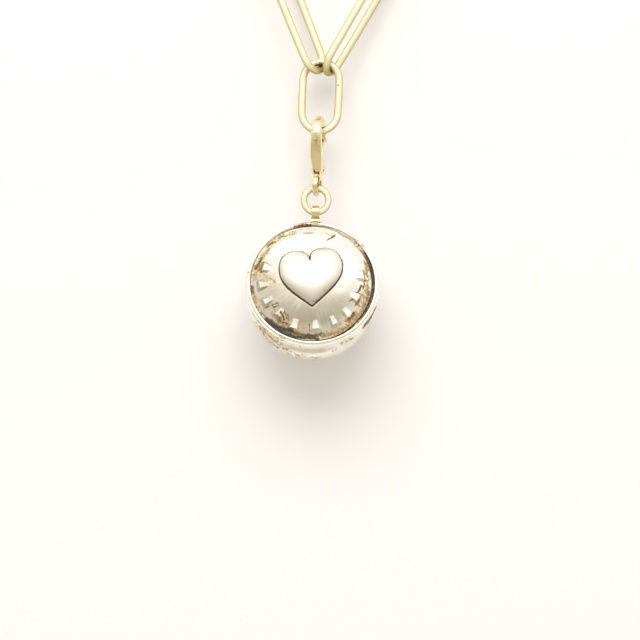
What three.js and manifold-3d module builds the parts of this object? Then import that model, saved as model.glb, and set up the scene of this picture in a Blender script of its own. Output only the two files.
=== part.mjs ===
// A ball-shaped heart pendant hung by a lobster clasp from three links of a paper-clip chain.
// Millimetres. +X is to the wearer's left, +Y goes back towards the wearer, +Z is up.
// The origin is the middle of the drop link's top wire, where the pendant hangs on the chain.
import * as THREE from "three";
import { mergeVertices } from "three/addons/utils/BufferGeometryUtils.js";
import Module from "manifold-3d";

const wasm = await Module();
wasm.setup();

// Running play between parts that hang in each other, and the solder film between fixed ones.
const hangPlay = 0.04;
const solderFilm = 0.04;
const slideGap = 0.05;

// Chain links, bent from round wire. Lengths and widths are taken between wire centres.
const linkWire = 1.1;
const dropLength = 10.2;
const dropWidth = 5.4;
const dropEndRadius = 2.65;
const sideLength = 21.2;
const sideWidth = 5.0;
const sideEndRadius = 2.3;

// How the two side links hang in the drop link: lean from the upright, turn about their own
// length, where the bend's wire passes beside the middle, and how far under the wire it rests.
const leftLean = 24;
const leftTurn = 56;
const leftAside = 0.45;
const leftSlack = 0.14;
const rightLean = 28;
const rightTurn = 70;
const rightAside = 0.86;
const rightSlack = 0.16;

// Lobster clasp. Its flat lies almost edge-on to the front, turned by claspTurn.
const claspTurn = 10;
const claspLength = 12;
const claspThickness = 1.65;
const hookBand = 1.5;
const hookReach = 0.75;
const spineBand = 1.25;
const windowRadius = 1.55;
const windowDepth = 4.2;
const claspRounding = 0.4;
const hookSlimming = 0.3;
const neckSlimming = 0.36;
const eyeOuter = 3.3;
const eyeWire = 0.8;
const rivetDiameter = 0.8;
const rivetProud = 0.14;
const rivetAside = 0.4;
const rivetDrop = 5.6;
const bossRadius = 1.05;
const leverThickness = 0.8;
const leverRoot = 0.75;
const leverBand = 0.95;
const leverRounding = 0.12;
const tabReach = 0.5;
const latchGap = 0.12;
const slotWall = 0.55;
const springWire = 0.16;
const springWidth = 0.5;

// Round jump ring.
const ringOuter = 4.55;
const ringWire = 0.93;

// Ball: a deep cup, a stepped bezel rim on its mouth and a domed plate set in the rim.
const ballRadius = 10;
const cupWall = 0.6;
const cupMouth = 2.2;
const rimHeight = 0.76;
const rimWall = 0.42;
const ledgeDepth = 0.8;
const ledgeWidth = 0.65;
const ledgeThickness = 0.4;
const plateWall = 0.5;
const plateEdge = 0.34;
const plateGap = 0.1;
const plateShift = 0.16;
const domeAboveRim = 1.4;
const faceTilt = 20.6;

// Sixteen wedge-shaped bumps pressed up round the plate, thin end towards the heart. They are
// set out by eye, so each has its own angle from the plate's right-hand side, turning upwards.
const bumpAngles = [
  10, 31, 51, 72, 96, 119, 142, 164, 187, 208, 229, 253, 277, 300, 320, 341,
];
const bumpInner = 6.2;
const bumpLength = 1.55;
const bumpWidth = 1.3;
const bumpHeight = 0.44;

// Puffed heart. Its right-hand lobe stands higher by heartSlant and both its notch and its tip
// lean to the left by heartBend.
const heartWidth = 9.2;
const heartHeight = 8.85;
const heartNotch = 1.65;
const heartPuff = 1.05;
const heartFullness = 3;
const heartTurn = 6.2;
const heartSlant = 0.065;
const heartBend = 0.25;
const heartRaise = 0.3;

// Hanging strap: a strip folded over the jump ring's bottom and soldered to the ball.
const strapWidth = 1.4;
const strapThickness = 0.42;
const strapReach = 1.5;
const strapForward = 14;
const neckThickness = 0.95;
const footFlare = 0.15;

// Fineness of the round shapes.
const wireSides = 12;
const linkSteps = 44;
const ringSteps = 36;
const turnSteps = 48;
const heartSteps = 56;

const brass = { color: 0xd9cf8e, roughness: 0.28, metalness: 1 };
const silver = { color: 0xe2dcc8, roughness: 0.32, metalness: 1 };

const toRadians = THREE.MathUtils.degToRad;

/** Drops normals and doubled points, and the flat triangles that a pole leaves. */
function welded(geometry) {
  const bare = geometry.clone();
  bare.deleteAttribute("normal");
  bare.deleteAttribute("uv");
  const merged = mergeVertices(bare, 1e-5);
  const index = merged.getIndex().array;
  const kept = [];
  for (let i = 0; i < index.length; i += 3) {
    const [a, b, c] = [index[i], index[i + 1], index[i + 2]];
    if (a !== b && b !== c && c !== a) {
      kept.push(a, b, c);
    }
  }
  merged.setIndex(kept);
  return merged;
}

/** Volume inside a closed surface, negative where its faces point in. */
function signedVolume(geometry) {
  const position = geometry.getAttribute("position");
  const index = geometry.getIndex().array;
  const [a, b, c] = [new THREE.Vector3(), new THREE.Vector3(), new THREE.Vector3()];
  let volume = 0;
  for (let i = 0; i < index.length; i += 3) {
    a.fromBufferAttribute(position, index[i]);
    b.fromBufferAttribute(position, index[i + 1]);
    c.fromBufferAttribute(position, index[i + 2]);
    volume += a.dot(b.cross(c)) / 6;
  }
  return volume;
}

/** The welded surface with its faces pointing out. */
function closed(geometry) {
  const surface = welded(geometry);
  if (signedVolume(surface) < 0) {
    surface.setIndex(Array.from(surface.getIndex().array).reverse());
  }
  return surface;
}

function toSolid(geometry) {
  const surface = closed(geometry);
  const vertProperties = new Float32Array(surface.getAttribute("position").array);
  const triVerts = new Uint32Array(surface.getIndex().array);
  return new wasm.Manifold(new wasm.Mesh({ numProp: 3, vertProperties, triVerts }));
}

function toGeometry(solid) {
  const { vertProperties, triVerts } = solid.getMesh();
  const geometry = new THREE.BufferGeometry();
  geometry.setAttribute("position", new THREE.BufferAttribute(vertProperties, 3));
  geometry.setIndex(new THREE.BufferAttribute(triVerts, 1));
  geometry.computeVertexNormals();
  return geometry;
}

function part(name, geometry, look) {
  const mesh = new THREE.Mesh(geometry, new THREE.MeshStandardMaterial(look));
  mesh.name = name;
  return mesh;
}

/** How far a bend of the given radius falls away at a given distance from its middle. */
function fall(radius, aside) {
  return radius - Math.sqrt(radius * radius - aside * aside);
}

/** Closed circle of profile points round (x, y), for a lathe. */
function roundProfile(x, y, radius, sides) {
  const points = [];
  for (let i = 0; i <= sides; i += 1) {
    const angle = ((i % sides) / sides) * 2 * Math.PI;
    points.push(new THREE.Vector2(x + radius * Math.cos(angle), y + radius * Math.sin(angle)));
  }
  return points;
}

/** Points and outward normals round an oval of four arcs, its length along y. */
function ovalStations(length, width, endRadius, count) {
  const a = length / 2;
  const b = width / 2;
  const sideRadius = (b * b + (a - endRadius) ** 2 - endRadius ** 2) / (2 * (b - endRadius));
  const meet = Math.atan2(a - endRadius, sideRadius - b);
  const quarter = count / 4;
  const arcs = [
    [0, a - endRadius, endRadius, meet, Math.PI - meet],
    [sideRadius - b, 0, sideRadius, Math.PI - meet, Math.PI + meet],
    [0, endRadius - a, endRadius, Math.PI + meet, 2 * Math.PI - meet],
    [b - sideRadius, 0, sideRadius, 2 * Math.PI - meet, 2 * Math.PI + meet],
  ];
  const stations = [];
  for (const [x, y, radius, from, to] of arcs) {
    for (let i = 0; i < quarter; i += 1) {
      const angle = from + ((to - from) * i) / quarter;
      const out = new THREE.Vector2(Math.cos(angle), Math.sin(angle));
      stations.push({ out, at: new THREE.Vector2(x, y).addScaledVector(out, radius) });
    }
  }
  return stations;
}

/** A lathe ring bent to an oval link that lies in its own x-y plane. */
function linkGeometry(length, width, endRadius) {
  const stations = ovalStations(length, width, endRadius, linkSteps);
  const plain = length;
  const ring = new THREE.LatheGeometry(roundProfile(plain, 0, linkWire / 2, wireSides), linkSteps);
  const position = ring.getAttribute("position");
  for (let i = 0; i < position.count; i += 1) {
    const [x, y, z] = [position.getX(i), position.getY(i), position.getZ(i)];
    const turn = Math.round((Math.atan2(x, z) / (2 * Math.PI)) * linkSteps);
    const { at, out } = stations[(turn + linkSteps) % linkSteps];
    const beyond = Math.hypot(x, z) - plain;
    position.setXYZ(i, at.x + out.x * beyond, at.y + out.y * beyond, y);
  }
  return closed(ring);
}

/** A side link hung by its lower bend, leaning to one side and turned about its length. */
function sideLink(name, side, lean, turn, aside, slack) {
  const geometry = linkGeometry(sideLength, sideWidth, sideEndRadius);
  geometry.translate(0, sideLength / 2, 0);
  const along = new THREE.Vector3(side * Math.sin(toRadians(lean)), 0, Math.cos(toRadians(lean)));
  const level = new THREE.Vector3(Math.cos(toRadians(lean)), 0, -side * Math.sin(toRadians(lean)));
  const across = level.multiplyScalar(Math.cos(toRadians(turn)));
  across.y = Math.sin(toRadians(turn));
  const mesh = part(name, geometry, brass);
  const facing = new THREE.Vector3().crossVectors(across, along);
  mesh.quaternion.setFromRotationMatrix(new THREE.Matrix4().makeBasis(across, along, facing));
  mesh.position.set(side * aside, 0, -(linkWire + fall(dropEndRadius, aside) + slack));
  return mesh;
}

function dropLink() {
  const geometry = linkGeometry(dropLength, dropWidth, dropEndRadius);
  geometry.rotateX(Math.PI / 2);
  geometry.translate(0, 0, -dropLength / 2);
  return part("drop_link", geometry, brass);
}

// The clasp is drawn in its own plane: x from the spine to the lever, y up, and z across its
// thickness, with the origin at the middle of the drop link's bottom wire.
const hookSeat = linkWire / 2 + fall(dropEndRadius, claspThickness / 2) + hangPlay;
const windowTop = hookSeat - windowRadius;
const hookTop = hookSeat + hookBand;
const tipLevel = windowTop - hookReach;
const eyeRadius = (eyeOuter - eyeWire) / 2;
const eyeMiddle = hookTop - claspLength + eyeOuter / 2;
const windowFloor = windowTop - windowDepth + windowRadius / 2;
const outerRadius = windowRadius + spineBand;
const slotFloor = -rivetDrop - leverRoot - slideGap;
const tipOuter = outerRadius - spineBand * 0.12;
const latchRadius = Math.hypot(tipOuter - rivetAside, tipLevel + rivetDrop);

/** Height, at a given x, of an arc round the rivet that lies gap inside the hook's tip. */
function latchArc(x, gap) {
  return Math.sqrt((latchRadius - gap) ** 2 - (x - rivetAside) ** 2) - rivetDrop;
}

/** Slims the clasp towards the top of its hook and towards the neck at the eye. */
function claspSlimming(y) {
  const { smoothstep } = THREE.MathUtils;
  const top = hookSlimming * smoothstep(y, windowTop - windowRadius, hookTop);
  const neck = neckSlimming * smoothstep(-y, rivetDrop - bossRadius, rivetDrop + bossRadius);
  return 1 - top - neck;
}

/** A flat outline as a plate of the given thickness, centred on it, with rounded edges. */
function roundedPlate(shape, thickness, rounding, segments) {
  const geometry = new THREE.ExtrudeGeometry(shape, {
    depth: thickness - 2 * rounding,
    bevelEnabled: true,
    bevelThickness: rounding,
    bevelSize: rounding,
    bevelOffset: -rounding,
    bevelSegments: segments,
    curveSegments: 10,
  });
  geometry.translate(0, 0, rounding - thickness / 2);
  return geometry;
}

/** A round bar along z. */
function crossBar(x, y, radius, length, sides) {
  const bar = new THREE.CylinderGeometry(radius, radius, length, sides);
  bar.rotateX(Math.PI / 2);
  bar.translate(x, y, 0);
  return bar;
}

function claspOutline() {
  const shape = new THREE.Shape();
  const tipInner = windowRadius + spineBand * 0.1;
  const neckY = -rivetDrop - bossRadius * 0.55;
  shape.moveTo(tipOuter, tipLevel);
  shape.lineTo(outerRadius, windowTop);
  shape.absellipse(0, windowTop, outerRadius, hookTop - windowTop, 0, Math.PI, false, 0);
  shape.bezierCurveTo(
    -outerRadius, windowTop - windowDepth * 0.6,
    -outerRadius * 0.7, -rivetDrop + bossRadius,
    -bossRadius * 0.75, neckY,
  );
  shape.lineTo(rivetAside - bossRadius * 0.75, -rivetDrop - bossRadius * 0.67);
  shape.absarc(rivetAside, -rivetDrop, bossRadius, -Math.PI * 0.7, Math.PI * 0.22, false);
  shape.lineTo(0, windowFloor);
  shape.bezierCurveTo(
    -windowRadius * 0.7, windowFloor,
    -windowRadius, windowFloor + windowRadius * 0.8,
    -windowRadius, windowTop,
  );
  shape.absarc(0, windowTop, windowRadius, Math.PI, 0, true);
  shape.lineTo(tipInner, latchArc(tipInner, 0));
  shape.closePath();
  return shape;
}

/** Eye at the foot of the clasp, a closed wire ring in the clasp's own plane. */
function eyeGeometry() {
  const eye = new THREE.LatheGeometry(roundProfile(eyeRadius, 0, eyeWire / 2, wireSides), ringSteps);
  eye.rotateX(Math.PI / 2);
  eye.translate(0, eyeMiddle, 0);
  return eye;
}

/** Short neck that carries the eye under the cheeks. */
function neckGeometry() {
  const top = slotFloor;
  const bottom = eyeMiddle + eyeRadius - eyeWire * 0.2;
  const neck = new THREE.BoxGeometry(bossRadius * 1.3, top - bottom, eyeWire * 0.95);
  neck.translate(0, (top + bottom) / 2, 0);
  return neck;
}

/** Room between the cheeks for the lever's root and its spring. */
function slotGeometry() {
  const left = -bossRadius;
  const right = outerRadius + tabReach;
  const bottom = slotFloor;
  const top = windowFloor + slotWall;
  const wide = leverThickness + 2 * slideGap;
  const slot = new THREE.BoxGeometry(right - left, top - bottom, wide);
  slot.translate((left + right) / 2, (top + bottom) / 2, 0);
  return slot;
}

function claspBody() {
  const plate = roundedPlate(claspOutline(), claspThickness, claspRounding, 3);
  const position = plate.getAttribute("position");
  for (let i = 0; i < position.count; i += 1) {
    position.setZ(i, position.getZ(i) * claspSlimming(position.getY(i)));
  }
  const bore = crossBar(rivetAside, -rivetDrop, rivetDiameter / 2 + slideGap, claspThickness * 2, 16);
  const foot = toSolid(neckGeometry()).add(toSolid(eyeGeometry()));
  const body = toSolid(plate).subtract(toSolid(slotGeometry())).add(foot);
  return part("clasp_body", toGeometry(body.subtract(toSolid(bore))), brass);
}

/** Lever from its nose under the hook's tip to its root on the rivet, with a tab for the thumb. */
function leverOutline() {
  const outer = outerRadius - spineBand * 0.14;
  const inner = outerRadius - leverBand;
  const tabLevel = windowFloor - slotWall * 0.6;
  const shape = new THREE.Shape();
  shape.moveTo(inner, latchArc(inner, latchGap));
  shape.bezierCurveTo(
    inner, windowFloor + windowRadius * 1.1,
    inner * 0.75, windowFloor + slotWall,
    rivetAside, -rivetDrop + leverRoot,
  );
  shape.absarc(rivetAside, -rivetDrop, leverRoot, Math.PI / 2, Math.PI * 1.97, false);
  shape.quadraticCurveTo(inner, -rivetDrop + leverRoot * 0.3, outerRadius, tabLevel - leverBand * 0.3);
  shape.lineTo(outerRadius + tabReach, tabLevel - leverBand * 0.1);
  shape.lineTo(outerRadius + tabReach, tabLevel + leverBand * 0.25);
  shape.quadraticCurveTo(
    outerRadius, tabLevel + leverBand * 0.3,
    outerRadius * 0.97, windowFloor + windowRadius * 0.7,
  );
  shape.lineTo(outer, latchArc(outer, latchGap));
  shape.closePath();
  return shape;
}

function claspLever() {
  const plate = roundedPlate(leverOutline(), leverThickness, leverRounding, 1);
  const bore = crossBar(rivetAside, -rivetDrop, rivetDiameter / 2 + slideGap, claspThickness * 2, 16);
  return part("clasp_lever", toGeometry(toSolid(plate).subtract(toSolid(bore))), brass);
}

/** Rivet with softly domed ends that stand proud of both cheeks. */
function leverRivet() {
  const radius = rivetDiameter / 2;
  const half = (claspThickness / 2) * claspSlimming(-rivetDrop) + rivetProud;
  const profile = [
    new THREE.Vector2(0, -half),
    new THREE.Vector2(radius * 0.7, -half + rivetProud * 0.15),
    new THREE.Vector2(radius, -half + rivetProud * 0.6),
    new THREE.Vector2(radius, half - rivetProud * 0.6),
    new THREE.Vector2(radius * 0.7, half - rivetProud * 0.15),
    new THREE.Vector2(0, half),
  ];
  const rivet = new THREE.LatheGeometry(profile, 16);
  rivet.rotateX(Math.PI / 2);
  rivet.translate(rivetAside, -rivetDrop, 0);
  return part("lever_rivet", closed(rivet), brass);
}

/** Bent leaf spring that lies behind the lever's root, against the spine. */
function leverSpring() {
  const left = -bossRadius + solderFilm;
  const foot = -rivetDrop + bossRadius * 0.45;
  const head = windowFloor - slotWall * 0.3;
  const shape = new THREE.Shape();
  shape.moveTo(left, foot);
  shape.lineTo(left + springWire, foot);
  shape.lineTo(left + springWire, head - springWire);
  shape.lineTo(left + springWire * 2.2, head - springWire);
  shape.lineTo(left + springWire * 2.2, head);
  shape.lineTo(left, head);
  shape.closePath();
  const leaf = new THREE.ExtrudeGeometry(shape, { depth: springWidth, bevelEnabled: false });
  leaf.translate(0, 0, -springWidth / 2);
  return part("lever_spring", closed(leaf), brass);
}

function clasp() {
  const group = new THREE.Group();
  group.add(claspBody(), claspLever(), leverRivet(), leverSpring());
  const turn = toRadians(claspTurn);
  const across = new THREE.Vector3(Math.sin(turn), Math.cos(turn), 0);
  const up = new THREE.Vector3(0, 0, 1);
  const through = new THREE.Vector3().crossVectors(across, up);
  group.quaternion.setFromRotationMatrix(new THREE.Matrix4().makeBasis(across, up, through));
  group.position.z = -dropLength;
  return group;
}

// Levels below the origin at which the ring and the ball hang.
const ringRadius = (ringOuter - ringWire) / 2;
const eyeBottom = -dropLength + eyeMiddle - eyeRadius;
const ringTop = eyeBottom + (eyeWire + ringWire) / 2 + hangPlay;
const ringBottom = ringTop - 2 * ringRadius;

function jumpRing() {
  const ring = new THREE.LatheGeometry(roundProfile(ringRadius, 0, ringWire / 2, wireSides), ringSteps);
  const mesh = part("jump_ring", closed(ring), brass);
  mesh.position.z = ringTop - ringRadius;
  return mesh;
}

// The ball is drawn about its own centre with its face towards -Y. Heights are measured from
// the centre out through the face.
const rimTop = cupMouth + rimHeight;
const ledgeTop = rimTop - ledgeDepth;
const rimOuter = Math.sqrt(ballRadius ** 2 - rimTop ** 2);
const rimInner = rimOuter - rimWall;
const plateRadius = rimInner - plateGap - plateShift;
const plateSeat = ledgeTop + solderFilm;
const plateEdgeTop = plateSeat + plateEdge;
const domeTop = rimTop + domeAboveRim;
const domeRise = domeTop - plateEdgeTop;
const domeRadius = (plateRadius ** 2 + domeRise ** 2) / (2 * domeRise);

/** Height of the plate's outer face at a given distance from its middle. */
function domeHeight(aside) {
  return domeTop - fall(domeRadius, aside);
}

/** Turns a profile of (distance, height) pairs round the axis of the face. */
function turned(pairs, steps) {
  const profile = pairs.map(([aside, height]) => new THREE.Vector2(aside, -height));
  return closed(new THREE.LatheGeometry(profile, steps));
}

/** Pairs along a round bowl from its back pole out to a given height, or the other way. */
function bowlArc(radius, height, count, outward) {
  const pairs = [];
  const mouth = Math.acos(-height / radius);
  for (let i = 0; i <= count; i += 1) {
    const angle = (mouth * (outward ? i : count - i)) / count;
    pairs.push([i === (outward ? 0 : count) ? 0 : radius * Math.sin(angle), -radius * Math.cos(angle)]);
  }
  return pairs;
}

function backCup() {
  const outer = bowlArc(ballRadius, cupMouth, 20, true);
  const inner = bowlArc(ballRadius - cupWall, cupMouth, 12, false);
  return part("back_cup", turned([...outer, ...inner], turnSteps), silver);
}

/** Stepped bezel: an outer wall on the cup's lip and a ledge inside it for the plate. */
function bezelRim() {
  const foot = cupMouth + solderFilm;
  const crown = rimWall * 0.35;
  const ledgeInner = rimInner - ledgeWidth;
  const ledgeFoot = ledgeTop - ledgeThickness;
  const cupInner = Math.sqrt((ballRadius - cupWall) ** 2 - foot ** 2) - solderFilm;
  const onBall = (height) => Math.sqrt(ballRadius ** 2 - height ** 2);
  const pairs = [
    [onBall(foot), foot],
    [onBall(foot + rimHeight * 0.3), foot + rimHeight * 0.3],
    [onBall(rimTop - crown), rimTop - crown],
    [rimOuter - crown * 0.5, rimTop - crown * 0.3],
    [rimOuter - rimWall / 2, rimTop],
    [rimInner + crown * 0.3, rimTop - crown * 0.3],
    [rimInner, rimTop - crown],
    [rimInner, ledgeTop],
    [ledgeInner, ledgeTop],
    [ledgeInner, ledgeFoot],
    [cupInner, ledgeFoot],
    [cupInner, foot],
    [onBall(foot), foot],
  ];
  return part("bezel_rim", turned(pairs, turnSteps), silver);
}

/** One pressed bump: a three-sided spike lying on the dome with its ridge outwards. */
function bump(angle) {
  const spike = new THREE.ConeGeometry(1, bumpLength, 3);
  spike.scale((bumpWidth / 2) * Math.sqrt(3), 1, bumpHeight);
  const outward = new THREE.Vector3(Math.cos(angle), 0, Math.sin(angle));
  const place = (aside) => outward.clone().multiplyScalar(aside).setY(-domeHeight(aside));
  const thin = place(bumpInner);
  const thick = place(bumpInner + bumpLength);
  const along = thin.clone().sub(thick).normalize();
  const side = new THREE.Vector3().crossVectors(along, new THREE.Vector3(0, -1, 0)).normalize();
  const ridge = new THREE.Vector3().crossVectors(side, along);
  const middle = thin.add(thick).multiplyScalar(0.5);
  spike.applyMatrix4(new THREE.Matrix4().makeBasis(side, along, ridge).setPosition(middle));
  return spike;
}

function facePlate() {
  const pairs = [];
  const count = 14;
  const shoulder = plateWall;
  for (let i = 0; i <= count; i += 1) {
    const aside = ((plateRadius - shoulder) * i) / count;
    pairs.push([aside, domeHeight(aside)]);
  }
  pairs.push([plateRadius - shoulder * 0.4, domeHeight(plateRadius - shoulder) - shoulder * 0.22]);
  pairs.push([plateRadius, plateSeat + plateEdge * 0.4], [plateRadius, plateSeat]);
  pairs.push([plateRadius - shoulder * 1.3, plateSeat]);
  for (let i = count - 2; i >= 0; i -= 2) {
    const aside = ((plateRadius - shoulder * 1.6) * i) / count;
    pairs.push([aside, domeHeight(aside) - plateWall]);
  }
  let plate = toSolid(turned(pairs, turnSteps));
  for (const angle of bumpAngles) {
    plate = plate.add(toSolid(bump(toRadians(angle))));
  }
  const mesh = part("face_plate", toGeometry(plate), silver);
  mesh.position.x = -plateShift;
  return mesh;
}

/** Heart outline from its notch down one side to the tip and back up the other. */
function heartOutline() {
  const half = heartWidth / 2;
  const top = heartHeight / 2;
  const notch = top - heartNotch;
  const shape = new THREE.Shape();
  shape.moveTo(0, notch);
  shape.bezierCurveTo(half * 0.06, top * 0.92, half * 0.25, top, half * 0.49, top);
  shape.bezierCurveTo(half * 0.8, top, half, top * 0.74, half, top * 0.34);
  shape.bezierCurveTo(half, -top * 0.22, half * 0.42, -top * 0.62, 0, -top);
  shape.bezierCurveTo(-half * 0.42, -top * 0.62, -half, -top * 0.22, -half, top * 0.34);
  shape.bezierCurveTo(-half, top * 0.74, -half * 0.8, top, -half * 0.49, top);
  shape.bezierCurveTo(-half * 0.25, top, -half * 0.06, top * 0.92, 0, notch);
  return shape.getSpacedPoints(heartSteps).map(({ x, y }) => new THREE.Vector2(
    x - heartBend * (y / top) ** 2,
    y + heartSlant * x,
  ));
}

/** A cushion with the heart's outline, its lower half cut to the dome of the plate. */
function heart() {
  const outline = heartOutline();
  const level = domeHeight(heartHeight / 2);
  const puff = domeTop + heartPuff - level;
  const cushion = new THREE.SphereGeometry(1, heartSteps, 16);
  const position = cushion.getAttribute("position");
  for (let i = 0; i < position.count; i += 1) {
    const [x, y, z] = [position.getX(i), position.getY(i), position.getZ(i)];
    const turn = Math.round((Math.atan2(z, -x) / (2 * Math.PI)) * heartSteps);
    const edge = outline[(turn + heartSteps) % heartSteps];
    const share = Math.hypot(x, z);
    const height = Math.sign(y) * Math.sqrt(Math.max(0, 1 - share ** heartFullness)) * puff;
    position.setXYZ(i, edge.x * share, -(level + height), edge.y * share + heartRaise);
  }
  const pairs = [];
  for (let i = 0; i <= 10; i += 1) {
    const aside = (plateRadius * i) / 10;
    pairs.push([aside, domeHeight(aside) + solderFilm]);
  }
  pairs.push([plateRadius, 0], [0, 0]);
  const solid = toSolid(cushion).subtract(toSolid(turned(pairs, turnSteps * 2)));
  const mesh = part("heart", toGeometry(solid), silver);
  mesh.position.x = -plateShift;
  mesh.rotation.y = -toRadians(heartTurn);
  return mesh;
}

const ballHang = ballRadius + strapReach;
const strapBore = ringWire / 2 + fall(ringRadius, strapWidth / 2) + hangPlay;

/** Strap drawn upright about the ring's bottom wire, cut to sit on the ball's skin. */
function hangingStrap() {
  const loop = strapBore + strapThickness;
  const half = neckThickness / 2;
  const neckTop = -Math.sqrt(loop * loop - half * half);
  const open = Math.asin(half / loop);
  const shape = new THREE.Shape();
  shape.absarc(0, 0, loop, -Math.PI / 2 + open, Math.PI * 1.5 - open, false);
  shape.lineTo(-half, neckTop - strapReach * 0.1);
  shape.lineTo(-half - footFlare, -strapReach);
  shape.lineTo(-half - footFlare, -strapReach - cupWall);
  shape.lineTo(half + footFlare, -strapReach - cupWall);
  shape.lineTo(half + footFlare, -strapReach);
  shape.lineTo(half, neckTop - strapReach * 0.1);
  shape.closePath();
  const bore = new THREE.Path();
  bore.absarc(0, 0, strapBore, 0, 2 * Math.PI, true);
  shape.holes.push(bore);
  const strip = new THREE.ExtrudeGeometry(shape, { depth: strapWidth, bevelEnabled: false, curveSegments: 14 });
  strip.translate(0, 0, -strapWidth / 2);
  strip.rotateY(Math.PI / 2);
  const skin = new THREE.SphereGeometry(ballRadius + solderFilm, turnSteps * 2, turnSteps);
  skin.translate(0, -ballHang, 0);
  const cut = toSolid(strip).subtract(toSolid(skin));
  const mesh = part("hanging_strap", toGeometry(cut), brass);
  mesh.rotation.x = Math.PI / 2 + toRadians(strapForward);
  return mesh;
}

/** Everything soldered to the ball, hung from the ring's bottom wire with its face up a little. */
function ball() {
  const shell = new THREE.Group();
  shell.add(backCup(), bezelRim(), facePlate(), heart());
  const forward = toRadians(strapForward);
  shell.position.set(0, ballHang * Math.sin(forward), -ballHang * Math.cos(forward));
  const group = new THREE.Group();
  group.add(shell, hangingStrap());
  group.position.z = ringBottom;
  group.rotation.x = -toRadians(faceTilt);
  return group;
}

const pendant = new THREE.Group();
pendant.add(
  sideLink("side_link_left", -1, leftLean, leftTurn, leftAside, leftSlack),
  sideLink("side_link_right", 1, rightLean, rightTurn, rightAside, rightSlack),
  dropLink(),
  clasp(),
  jumpRing(),
  ball(),
);

export default pendant;
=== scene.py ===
"""Looks of a ball-shaped heart pendant that hangs on paper-clip chain links.

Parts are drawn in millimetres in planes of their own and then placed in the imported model's
frame, which is in metres: +X right, +Y back towards the wearer and +Z up.
"""

import logging
import math
from dataclasses import dataclass
from enum import Enum
from typing import Callable, Iterable, Sequence

import bmesh
import bpy
import numpy as np
from mathutils import Matrix, Vector, noise


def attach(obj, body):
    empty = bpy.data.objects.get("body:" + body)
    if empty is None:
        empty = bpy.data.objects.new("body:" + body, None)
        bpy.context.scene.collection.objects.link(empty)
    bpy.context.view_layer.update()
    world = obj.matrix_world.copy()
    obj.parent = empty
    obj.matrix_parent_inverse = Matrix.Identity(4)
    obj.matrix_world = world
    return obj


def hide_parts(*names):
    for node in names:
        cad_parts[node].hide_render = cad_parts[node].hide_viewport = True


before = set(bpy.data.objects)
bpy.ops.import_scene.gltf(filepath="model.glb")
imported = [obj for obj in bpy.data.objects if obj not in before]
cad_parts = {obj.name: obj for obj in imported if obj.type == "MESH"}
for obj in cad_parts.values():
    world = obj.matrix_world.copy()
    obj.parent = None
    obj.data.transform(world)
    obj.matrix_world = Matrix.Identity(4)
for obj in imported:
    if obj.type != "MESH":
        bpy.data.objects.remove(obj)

LOG = logging.getLogger("heart_pendant")
MM = 0.001
Colour = tuple[float, float, float]
Painter = Callable[[np.ndarray], np.ndarray]


class Body(Enum):
    """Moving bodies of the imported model."""

    NECKLACE = "necklace_links"
    DROP = "drop"
    CLASP = "clasp"
    LEVER = "lever"
    RING = "ring"
    BALL = "ball"


class Slot(Enum):
    """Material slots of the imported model."""

    GOLD_WIRE = "gold_wire"
    GOLD_CAST = "gold_cast"
    SPRING = "spring_steel"
    SILVER_BODY = "silver_body"
    SILVER_FACE = "silver_face"


# ---- Small sums ----


def smoothstep(value: float, low: float, high: float) -> float:
    """Goes smoothly from 0 at low to 1 at high."""
    t = min(1.0, max(0.0, (value - low) / (high - low)))
    return t * t * (3 - 2 * t)


def fall(radius: float, aside: float) -> float:
    """How far a bend of the given radius falls away at a distance from its middle."""
    return radius - math.sqrt(radius * radius - aside * aside)


def ripple(x: float, y: float, z: float, scale: float, seed: float = 0.0) -> float:
    """Smooth noise from about -1 to 1 at a place in millimetres, scale being its wavelength."""
    return noise.noise(Vector((x / scale + seed, y / scale - seed, z / scale + 2 * seed)))


def ripples(points: np.ndarray, scale: float, seed: float = 0.0) -> np.ndarray:
    """Smooth noise at each row of an array of places."""
    return np.array([ripple(*point, scale, seed) for point in points])


def between(values: np.ndarray, low: float, high: float) -> np.ndarray:
    """Goes evenly from 0 at low to 1 at high, for each value."""
    return np.clip((values - low) / (high - low), 0, 1)


def full_turn(count: int) -> np.ndarray:
    """Angles evenly round a full turn."""
    return np.linspace(0, 2 * np.pi, count, endpoint=False)


def bezier(p0: Sequence[float], p1: Sequence[float], p2: Sequence[float], p3: Sequence[float],
           count: int) -> np.ndarray:
    """Points along a cubic curve, both ends included.

    Args:
        p0: Start of the curve.
        p1: First control point.
        p2: Second control point.
        p3: End of the curve.
        count: Number of points.

    Returns:
        An array of count rows.
    """
    t = np.linspace(0, 1, count)[:, None]
    a, b, c, d = (np.array(p, float) for p in (p0, p1, p2, p3))
    return (1 - t) ** 3 * a + 3 * (1 - t) ** 2 * t * b + 3 * (1 - t) * t ** 2 * c + t ** 3 * d


def arc(x: float, y: float, rx: float, ry: float, start: float, end: float, count: int) -> np.ndarray:
    """Points on part of an ellipse.

    Args:
        x: Centre across.
        y: Centre up.
        rx: Radius across.
        ry: Radius up.
        start: First angle in degrees.
        end: Last angle in degrees.
        count: Number of points.

    Returns:
        An array of count rows of (x, y).
    """
    angle = np.radians(np.linspace(start, end, count))
    return np.stack([x + rx * np.cos(angle), y + ry * np.sin(angle)], axis=1)


def squared_circle(count: int, power: float) -> tuple[np.ndarray, np.ndarray]:
    """Points round a unit circle that is pressed towards a square.

    Args:
        count: Number of points.
        power: 1 for a circle and less for squarer shapes.

    Returns:
        Their places across and up.
    """
    t = full_turn(count)
    return tuple(np.sign(part) * np.abs(part) ** power for part in (np.cos(t), np.sin(t)))


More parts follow.
